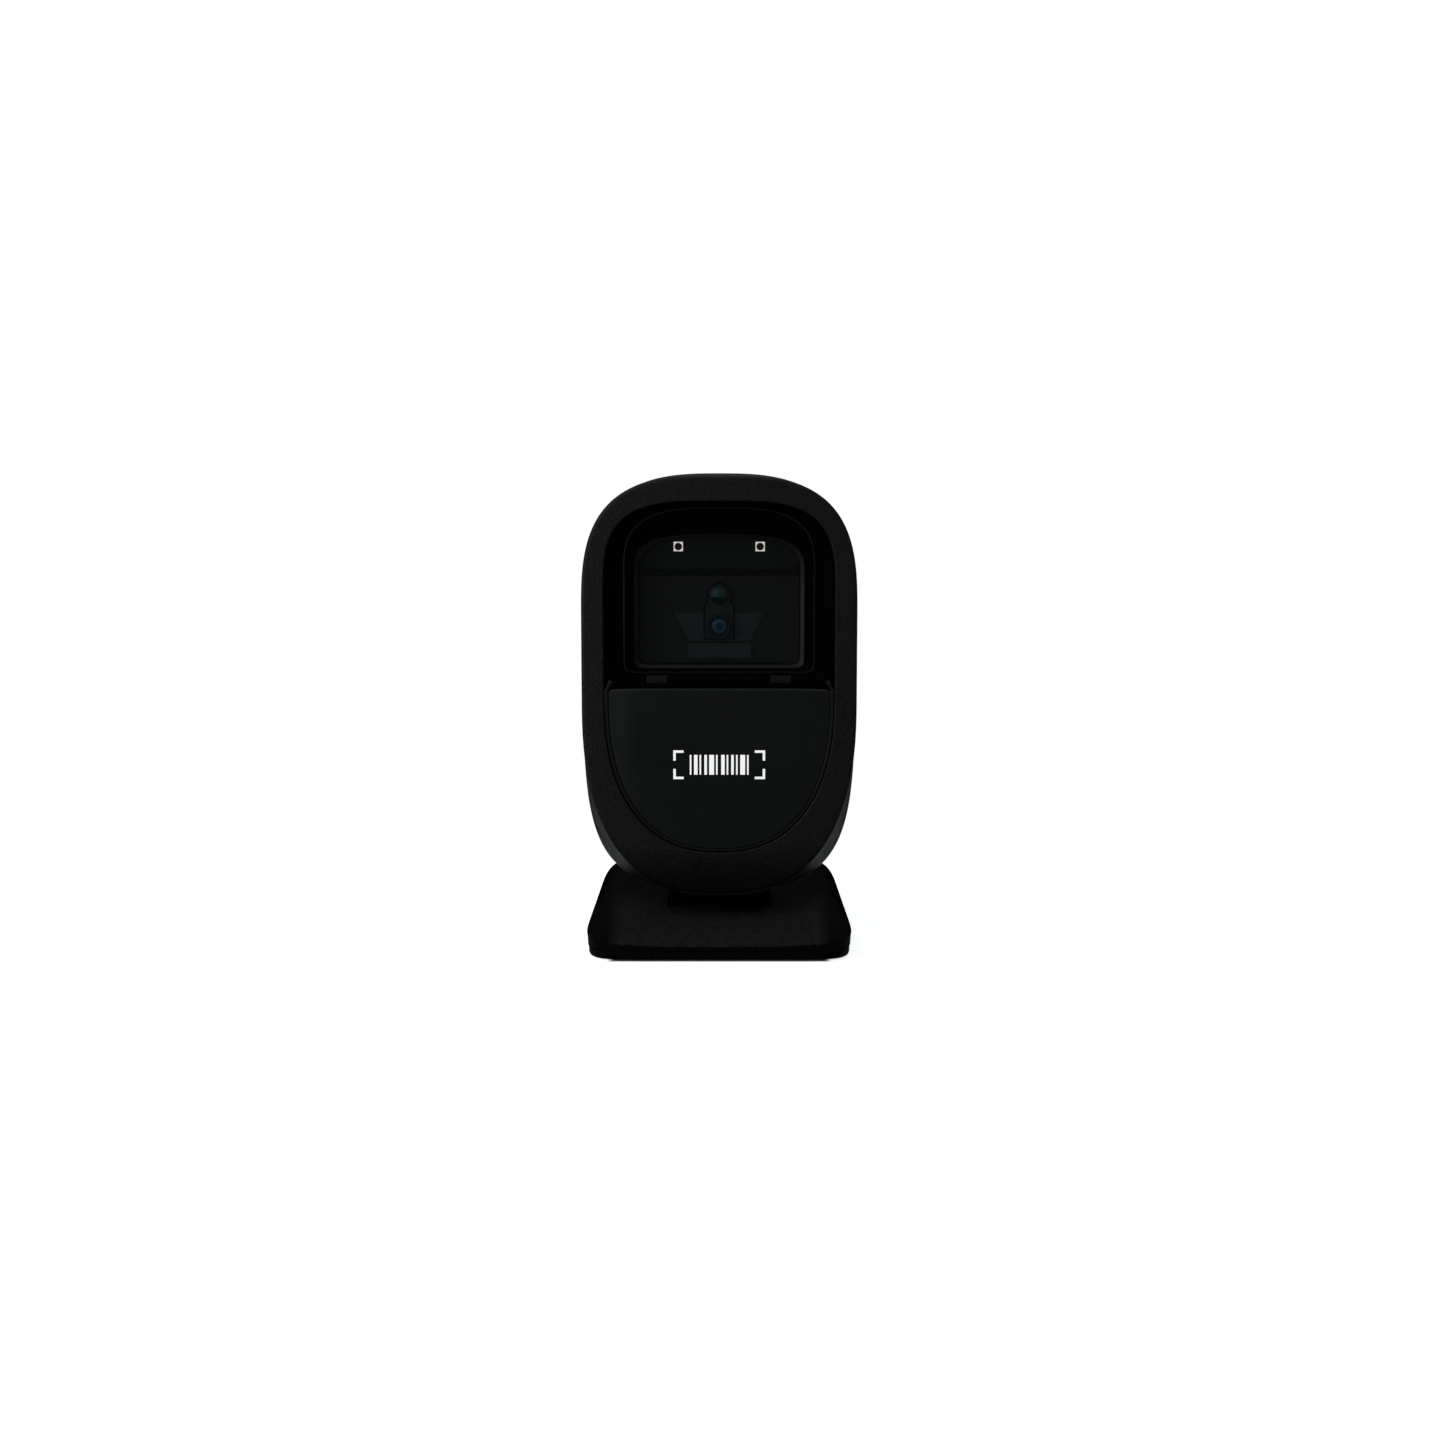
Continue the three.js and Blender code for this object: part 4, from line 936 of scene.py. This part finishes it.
def trigger_button():
    """Oval push button with a crowned face and a shallow thumb dish."""
    stem = button_low.y - FACE_Y  # depth of its front end
    crown = button_high.y - FACE_Y
    flange_front, flange_back, stem_inset = stem + 2.0, stem + 3.2, 3.5
    edge_radius, edge_steps = 1.1, 8
    dish = [(1.9, 0.03), (2.6, 0.18), (3.6, 0.3), (4.8, 0.36)]  # inset and drop

    def ring(grow, depth):
        return at_depth(stadium(grow, TRIGGER_Z, *TRIGGER_HALF), depth)

    rings = [ring(-stem_inset, flange_front), ring(FLANGE, flange_front), ring(FLANGE, flange_back)]
    rings += [ring(0, flange_back), ring(0, crown - edge_radius)]
    for angle in quarter_turn(edge_steps):
        drop = edge_radius * (1 - math.sin(angle))
        rings.append(ring(-edge_radius * (1 - math.cos(angle)), crown - drop))
    rings += [ring(-inwards, crown - drop) for inwards, drop in dish]
    button = skin("push_button", rings)
    spring_low, spring_high = box_mm("trigger_spring")
    room = spring_high.y + TRIGGER_TRAVEL + JOINT_GAP - button_low.y
    around = (spring_high.z - spring_low.z) / 2 + JOINT_GAP
    carve(button, rod("spring_room", around, "y", 0, room, (0, button_low.y, TRIGGER_Z)))
    dress(button, "trigger", "gloss_black", ["trigger_button"], edge=0.1, angle=45)


def scan_mark():
    """A generic printed sign: barcode bars inside four corner brackets."""
    half_width, half_height, middle = 14.2, 4.5, 58.6
    stroke, arm, bar_half = 0.75, 3.2, 3.1
    sunk, ink = 0.02, 0.03  # how deep the print reaches into the panel, and how far it stands out
    bars = [0.5, 1.1, 0.5, 0.8, 1.5, 0.5, 1.1, 0.5, 0.8, 0.5, 1.5, 0.5]
    spaces = [0.8, 0.6, 1.0, 0.7, 0.6, 1.1, 0.6, 0.9, 0.7, 0.8, 0.6]
    strips = []
    for sx in (-1, 1):
        for sz in (-1, 1):
            x, z = sx * half_width, middle + sz * half_height
            strips.append(sorted((x, x - sx * arm)) + sorted((z, z - sz * stroke)))
            strips.append(sorted((x, x - sx * stroke)) + sorted((z - sz * stroke, z - sz * arm)))
    x = -(sum(bars) + sum(spaces)) / 2
    for bar, space in zip(bars, [*spaces, 0]):
        strips.append([x, x + bar, middle - bar_half, middle + bar_half])
        x += bar + space
    points, faces = [], []
    for x0, x1, z0, z1 in strips:
        start = len(points)
        for depth in (sunk, -ink):
            for px, pz in ((x0, z0), (x1, z0), (x1, z1), (x0, z1)):
                points.append((px, panel_front(px) + depth, pz))
        b, f = [start + i for i in range(4)], [start + 4 + i for i in range(4)]
        faces += [tuple(b), tuple(f)]
        faces += [(b[i], b[(i + 1) % 4], f[(i + 1) % 4], f[i]) for i in range(4)]
    dress(mesh_object("scan_mark", points, faces), "head", "led_white", edge=0, material=INK)


# ---- Head: what shows through the window ----
def dome(name, node, slot, grow=0.0, material=None):
    """A round glass cap that stands towards the window."""
    low, high = box_mm(node)
    middle = (low + high) / 2
    radius, rise = (high.z - low.z) / 2 + grow, high.y - low.y
    profile = [(0, 0), (radius, 0)]
    profile += [(radius * math.cos(angle), -rise * math.sin(angle)) for angle in quarter_turn(14)[:-1]]
    profile += [(radius * 0.02, -rise), (0, -rise)]
    cap = turned(name, profile, "y", (middle.x, high.y, middle.z), 40)
    dress(cap, "head", slot, [node], edge=0, material=material)


def lens_barrel():
    """Barrel with three grooves near its chamfered rim, and a well for the lens."""
    low, high = box_mm("lens_barrel")
    middle = (low + high) / 2
    well = box_mm("lens_element")[1].z - centre_mm("lens_element").z + 0.2
    well_floor, groove, groove_pitch = -0.6, 0.16, 0.45
    radius, depth = (high.z - low.z) / 2, high.y - low.y
    profile = [(0, well_floor), (well, well_floor), (well + 0.1, 0.3 - depth), (well + 0.35, -depth)]
    profile += [(radius - 0.3, -depth), (radius, 0.3 - depth)]
    for i in range(3):
        start = 0.5 - depth + groove_pitch * i
        profile += [(radius, start), (radius - groove, start + 0.12)]
        profile += [(radius - groove, start + 0.24), (radius, start + 0.36)]
    profile += [(radius - 0.25, 0), (0, 0)]
    barrel = turned("lens_ring", profile, "y", (middle.x, high.y, middle.z), 72)
    dress(barrel, "head", "component", ["lens_barrel"], edge=0.06, angle=30, material=LENS_BLACK)


def led_package(side):
    """Square ceramic package with a round well."""
    node = "led_" + side
    low, high = box_mm(node)
    middle = (low + high) / 2
    body = block("led_body_" + side, tuple(low), tuple(high))
    profile = [(0, -0.1), (1.22, -0.1), (1.2, 0.5), (0, 0.5)]
    carve(body, turned("well", profile, "y", (middle.x, low.y, middle.z), 40))
    dress(body, "head", "led_white", [node], edge=0.04)


# ---- Base ----
def base_share(y):
    """How far back a place on the base is, from 0 at its front to 1."""
    return clamp((y - shell_low.y) / (shell_high.y - shell_low.y), 0, 1)


def base_plan(angle, d):
    """A point of the base's outline, inset by d: a rounded rectangle, wider in front."""
    power = 2 / BASE_CORNER
    y = (BASE_HALF_DEPTH - d) * signed_power(math.sin(angle), power)
    half = BASE_HALF_WIDTH - BASE_TAPER * y - d
    return half * signed_power(math.cos(angle), power), y


def belt_height(x, y):
    """Height of the sharp edge round the base, between its lip and its top."""
    across = clamp(abs(x) / BASE_HALF_WIDTH, 0, 1)
    return BELT["front"] + BELT["side_rise"] * across**4 + BELT["back_rise"] * base_share(y)


def dish_height(x, y):
    """Height of the dished top, away from its rounded border."""
    across = clamp(abs(x) / CREST["half_width"], 0, 1)
    middle = BELT["front"] + DISH["rise"] * base_share(y) ** DISH["power"]
    crest = CREST["front"] + CREST["rise"] * base_share(y)
    return middle + max(0.0, crest - middle) * across**3


def top_height(x, y, d):
    """Height of the top at an inset d from the base's plan."""
    across = clamp(1 - d / mix(BASE_BORDER["front"], BASE_BORDER["back"], base_share(y)), 0, 1)
    return mix(belt_height(x, y), dish_height(x, y), math.sqrt(1 - across**2))


def base_ring(d, height):
    """A ring of the base's plan, evenly spaced, with a height for each point."""
    fine = 1440
    dense = [base_plan(2 * math.pi * i / fine, d) for i in range(fine)]
    return [(x, y, height(x, y)) for x, y in evenly([*dense, dense[0]], BASE_POINTS + 1)[:-1]]


def base_cover(name, wall, bottom, steps, sizes):
    """The cover, or with a wall the hollow under it: the lip, the belt, and the top in insets and rings."""

    def shrunk(size):
        ring = [(size * x, size * y) for x, y, _ in base_ring(BORDER_END, lambda x, y: 0.0)]
        return [(x, y, top_height(x, y, BORDER_END) - wall) for x, y in ring]

    rings = [
        base_ring(0.3 + wall, lambda x, y: bottom),
        base_ring(0.12 + wall, lambda x, y: belt_height(x, y) - 0.75 - wall),
        base_ring(wall, lambda x, y: belt_height(x, y) - 0.35 - wall),
    ]
    rings += [base_ring(d + wall, lambda x, y, d=d: top_height(x, y, d) - wall) for d in steps]
    return skin(name, rings + [shrunk(size) for size in sizes])


def base_shell():
    """The dished cover: a vertical lip, a sharp belt edge, and a top that dips between two crests."""
    fine_steps = [0.06, 0.2, 0.5, 0.9, 1.4, 2.0, 2.7, 3.5, 4.3, 5.0, 5.8, 6.8, 7.9]
    coarse_steps, coarse_sizes = [1.2, 4.6], [1, 0.7, 0.35, 0.05]
    rings = 26
    lip_front = -31  # the hollow stops here, and the cover is solid in front of it
    outside, above = 50, 30
    shell = base_cover("base_cover", 0.0, shell_low.z, fine_steps, [1 - i / rings for i in range(rings)])
    hollow = base_cover("hollow", BASE_WALL, 0.0, coarse_steps, coarse_sizes)
    combine(hollow, [block("keep", (-outside, lip_front, -1), (outside, outside, above))], "INTERSECT")
    carve(shell, hollow)
    hole_half = NECK_HALF + 0.5
    carve(shell, block("neck_hole", (-hole_half, -8.6, 0), (hole_half, 15.1, above)))
    # The top takes the copy with painted light, painted shade and a painted shadow.
    dress(shell, "base", "textured_black", ["base_shell"], edge=0.22, angle=36, material=BASE_TOP_PAINTED_LIGHT_AND_SHADE)
    # Faces below the belt take the darker copy of the black: painted shade on the lip.
    shell.data.materials.append(BASE_SIDE_PAINTED_SHADE)
    for face in shell.data.polygons:
        x, y, z = face.center / MM
        face.material_index = int(z < belt_height(x, y) - 0.1)


def base_plate():
    """Floor of the base, with a chamfered lower edge, screw seats, feet seats and a label recess."""
    low, high = plate_low.z, plate_high.z
    profile = [(2.6, low), (1.7, low), (1.15, low + 0.15), (0.75, low + 0.45), (0.58, low + 0.9), (0.5, high)]
    plate = skin("base_floor", [base_ring(d, lambda x, y, z=z: z) for d, z in profile])
    seat_radius, seat_depth = 2.9, 1.3
    label_half, label_front, label_back, label_depth = 19, -5, 19, 0.2
    for name in frame["nodes"]:
        if name.startswith(("base_screw", "neck_screw")):
            p = centre_mm(name)
            carve(plate, rod("seat", seat_radius, "z", -1, low + seat_depth, (p.x, p.y, 0)))
    for name in frame["nodes"]:
        if name.endswith(("foot_right", "foot_left")):
            foot_low, foot_high = box_mm(name)
            room = Vector((JOINT_GAP, JOINT_GAP, 0))
            seat_top = foot_high + room + Vector((0, 0, 0.05))
            carve(plate, block("seat", tuple(foot_low - room), tuple(seat_top)))
    label = block("label", (-label_half, label_front, low - 1), (label_half, label_back, low + label_depth))
    carve(plate, label)
    # The plate takes the darker copy of the textured black: painted shade.
    dress(plate, "base", "dark_plastic", ["base_plate"], edge=0.2, angle=34, material=BASE_SIDE_PAINTED_SHADE)


def neck_post():
    """The neck: a post with filleted edges, rounded about the hinge."""
    radius, past_level, steps = 7, 0.2, 48
    points = [(-8.0, 6.0), (14.5, 6.0), (13.0, 12.0)]  # y and z, from the foot of the post
    for i in range(steps + 1):
        angle = mix(-past_level, math.pi + past_level, i / steps)
        points.append((HINGE.y + radius * math.cos(angle), HINGE.z + radius * math.sin(angle)))
    points.append((-6.5, 12.0))
    post = skin("neck", [[(x, y, z) for y, z in points] for x in (-NECK_HALF, NECK_HALF)])
    # The neck takes the near-black copy: painted shade under the head.
    dress(post, "base", "textured_black", ["neck_post"], edge=1.1, angle=34, material=NECK_PAINTED_SHADE)


def foot(node):
    """Rubber foot: a pad between two ribs, with a soft edge."""
    low, high = box_mm(node)
    rib, dip, chamfer = 1.6, 0.3, 0.2
    section = []
    for start, end in ((low.x, low.x + rib), (high.x - rib, high.x)):
        section += [(start, dip), (start + chamfer, 0), (end - chamfer, 0), (end, dip)]
    section += [(high.x, high.z), (low.x, high.z)]
    pad = skin(node + "_pad", [[(x, y, z) for x, z in section] for y in (low.y, high.y)])
    dress(pad, "base", "rubber", [node], edge=0.08)


def screw(node, body, axis, toward):
    """Pan-head screw with a six-lobed socket in its head. toward is the way the head faces."""
    low, high = box_mm(node)
    at = list((low + high) / 2)
    index = "xyz".index(axis)
    at[index] = high[index] if toward > 0 else low[index]
    length = high[index] - low[index]
    head, shank, head_height, tip = 2.4, 1.05, 1.5, 0.3
    lobes, lobe_middle, lobe_swing, socket_depth, socket_points = 6, 0.92, 0.16, 0.9, 36
    profile = [(0, 0), (1.5, 0), (2.0, 0.1), (2.32, 0.4), (head, 0.9), (head, head_height)]
    profile += [(shank, head_height), (shank, length - tip), (0, length)]
    made = turned(node + "_fine", [(r, -toward * h) for r, h in profile], axis, at, 40)
    rings = []
    for h in (-0.5, socket_depth):
        ring = []
        for i in range(socket_points):
            angle = 2 * math.pi * i / socket_points
            r = lobe_middle + lobe_swing * math.cos(lobes * angle)
            p = AXES[axis](r, math.cos(angle), math.sin(angle), -toward * h)
            ring.append(tuple(Vector(p) + Vector(at)))
        rings.append(ring)
    carve(made, skin("socket", rings))
    dress(made, body, "steel", [node], edge=0.08, angle=40)


# ---- Everything that isn't replaced keeps its CAD shape ----
KEPT_EDGES = {
    "optics_chassis": 0.35,
    "imager_tray": 0.12,
    "imager_skirt": 0.25,
    "imager_body": 0.35,
    "hinge_shaft": 0.0,
}
KEPT_EDGE = 0.1  # for the others


def finish_cad_nodes():
    """Materials for every CAD node, and fine rounded edges on those that are seen."""
    slots = {entry["node"]: entry["material_slot"] for entry in frame["record"]["subparts"]}
    for name, obj in frame["nodes"].items():
        obj.data.materials.clear()
        obj.data.materials.append(CAMERA_GREY if name == "imager_body" else MATERIALS[slots[name]])
        if obj.hide_render:
            continue
        rounding = obj.modifiers.new("edges", "BEVEL")
        rounding.width = KEPT_EDGES.get(name, KEPT_EDGE) * MM
        rounding.segments = 3
        rounding.limit_method = "ANGLE"
        rounding.angle_limit = math.radians(35)


# ---- All the pieces ----
front_bezel()
window_frame()
scan_window()
front_panel()
for side in ("left", "right"):
    bezel_horn(side)
light_pipe()
rear_housing()
trigger_button()
scan_mark()
lens_barrel()
dome("lens_glass", "lens_element", "lens_glass")
dome("aimer_dome", "aimer_lens", "lens_glass", material=AIMER_GLASS_PAINTED_SHADE)
for side in ("right", "left"):
    led_package(side)
    dome("led_cap_" + side, "led_dome_" + side, "led_dome", grow=0.1)
base_shell()
base_plate()
neck_post()
for name in list(frame["nodes"]):
    if name.endswith(("foot_right", "foot_left")):
        foot(name)
    elif name.startswith("housing_screw"):
        screw(name, "head", "y", 1)
    elif name.startswith(("base_screw", "neck_screw")):
        screw(name, "base", "z", -1)
finish_cad_nodes()


# ---- Floor, lights and camera, in metres ----
FLOOR_WHOLE = 0.07  # radius out to which the floor hides what is behind it
FLOOR_END = 0.22  # radius at which it has faded away
FLOOR_GLOW = 0.8
GLOW_EDGE = (-1.2 * MM, 0.6 * MM)  # the glow sets in over this stretch
GLOW_INSET = Vector((6, 1)) * MM  # of the rectangle without glow, from the base's sides and front


def outside_base(n):
    """How far a point of the floor lies outside a rectangle under the base."""
    half = Vector((BASE_HALF_WIDTH, BASE_HALF_DEPTH)) * MM - GLOW_INSET
    beyond = n.vector("SUBTRACT", n.vector("ABSOLUTE", n.place), (*half, 0))
    farther = n.tree.nodes.new("ShaderNodeMath")
    farther.operation = "MAXIMUM"
    n.link(n.axis(beyond, "X"), farther.inputs[0])
    n.link(n.axis(beyond, "Y"), farther.inputs[1])
    return farther.outputs["Value"]


def floor():
    """A white floor that fades into the equally white surroundings before they can show an edge.

    It glows round the base, stays out of reflections, and is clear from below.
    """
    n = Nodes("studio_floor")
    n.colour(n.blend(n.noise(900.0), grey(0.90), grey(0.92)))
    n.set(Roughness=0.9, Specular_IOR_Level=0.0, Emission_Color=(1.0, 1.0, 1.0, 1.0))
    n.link(n.spread(outside_base(n), 0, FLOOR_GLOW, *GLOW_EDGE), n.shader.inputs["Emission Strength"])
    fade = n.spread(n.vector("LENGTH", n.place), 1, 0, FLOOR_WHOLE, FLOOR_END)
    from_below = n.tree.nodes.new("ShaderNodeNewGeometry").outputs["Backfacing"]
    n.link(n.add(fade, from_below, -1.0), n.shader.inputs["Alpha"])
    sides, reach = 96, FLOOR_END / MM
    angles = [2 * math.pi * i / sides for i in range(sides)]
    points = [(reach * math.cos(angle), reach * math.sin(angle), 0) for angle in angles]
    sheet = mesh_object("studio_floor", points, [tuple(range(len(points)))])
    sheet.data.materials.append(n.material)
    sheet.visible_glossy = False
    sheet.visible_diffuse = False


def sky():
    """White surroundings for the camera, and dim light from above, the sides, and low before and behind."""
    world = bpy.data.worlds.new("studio")
    bpy.context.scene.world = world
    world.use_nodes = True
    tree = world.node_tree
    tree.nodes.clear()
    new, link = tree.nodes.new, tree.links.new
    split = new("ShaderNodeSeparateXYZ")
    link(new("ShaderNodeTexCoord").outputs["Generated"], split.inputs[0])

    def ramp(source, start, end, low, high):
        node = map_range(tree, source, start, end, low, high)
        node.interpolation_type = "SMOOTHSTEP"
        return node.outputs["Result"]

    def combined(operation, first, *others):
        for other in others:
            node = new("ShaderNodeMath")
            node.operation = operation
            link(first, node.inputs[0])
            link(other, node.inputs[1])
            first = node.outputs["Value"]
        return first

    x, y, z = split.outputs
    across = combined("MULTIPLY", x, x)
    low_behind = combined("MULTIPLY", ramp(z, -0.5, -0.1, 0.4, 0.0), ramp(y, 0.0, 0.5, 0.1, 1.0))
    sides = combined("MULTIPLY", ramp(across, 0.5, 0.95, 0.0, 0.22), ramp(z, 0.0, 0.5, 1.0, 0.0))
    overhead = combined("MULTIPLY", ramp(z, 0.35, 0.95, 0.0, 0.5), ramp(y, -0.1, 0.5, 1.0, 0.2))
    leftward = ramp(x, -0.25, -0.12, 2.0, 1.0)
    low_front = combined("MULTIPLY", ramp(z, -0.4, -0.12, 0.0, 0.18), ramp(y, -0.9, -0.2, 1.0, 0.0), leftward)
    strength = combined("ADD", low_behind, low_front, combined("ADD", sides, overhead))
    lighting = new("ShaderNodeBackground")
    lighting.inputs["Color"].default_value = (0.92, 1.04, 0.98, 1.0)
    link(strength, lighting.inputs["Strength"])
    backdrop = new("ShaderNodeBackground")
    backdrop.inputs["Color"].default_value = (1.0, 1.0, 1.0, 1.0)
    choose = new("ShaderNodeMixShader")
    link(new("ShaderNodeLightPath").outputs["Is Camera Ray"], choose.inputs["Fac"])
    link(lighting.outputs["Background"], choose.inputs[1])
    link(backdrop.outputs["Background"], choose.inputs[2])
    link(choose.outputs["Shader"], new("ShaderNodeOutputWorld").inputs["Surface"])


def place_facing(name, data, place, aim):
    """A light or camera in the scene, turned towards a point."""
    holder = bpy.data.objects.new(name, data)
    holder.location = place
    holder.rotation_euler = (Vector(aim) - Vector(place)).to_track_quat("-Z", "Y").to_euler()
    bpy.context.collection.objects.link(holder)
    return holder


def softbox(name, place, aim, size, power):
    """A rectangular area light that the camera doesn't see."""
    lamp = bpy.data.lights.new(name, "AREA")
    lamp.shape = "RECTANGLE"
    lamp.size, lamp.size_y = size
    lamp.energy = power
    place_facing(name, lamp, place, aim).visible_camera = False


def camera():
    """In front, slightly above, with a long lens."""
    elevation, distance, pivot = math.radians(8), 0.8, Vector((0, 0, 0.073))
    place = pivot + distance * Vector((0, -math.cos(elevation), math.sin(elevation)))
    aim = Vector((0.00025, 0, 0.0690))
    lens = bpy.data.cameras.new("camera")
    lens.sensor_width = 36
    lens.lens = 62.84
    lens.clip_end = 30
    bpy.context.scene.camera = place_facing("camera", lens, place, aim)


floor()
sky()
MIDDLE = (0, 0, 0.07)  # of the object
softbox("key_left", place=(-0.75, -0.55, 0.75), aim=MIDDLE, size=(0.7, 0.7), power=2.2)
softbox("back_high", place=(0, 0.5, 1.0), aim=MIDDLE, size=(0.9, 0.4), power=0.5)
softbox("back_low", place=(0, 0.8, 0.6), aim=MIDDLE, size=(0.9, 0.4), power=0.35)
softbox("rim_card", place=(-0.2, -0.2, 0.12), aim=(-0.04, -0.04, 0.09), size=(0.08, 0.16), power=0.11)
camera()
bpy.context.scene.view_settings.view_transform = "Standard"
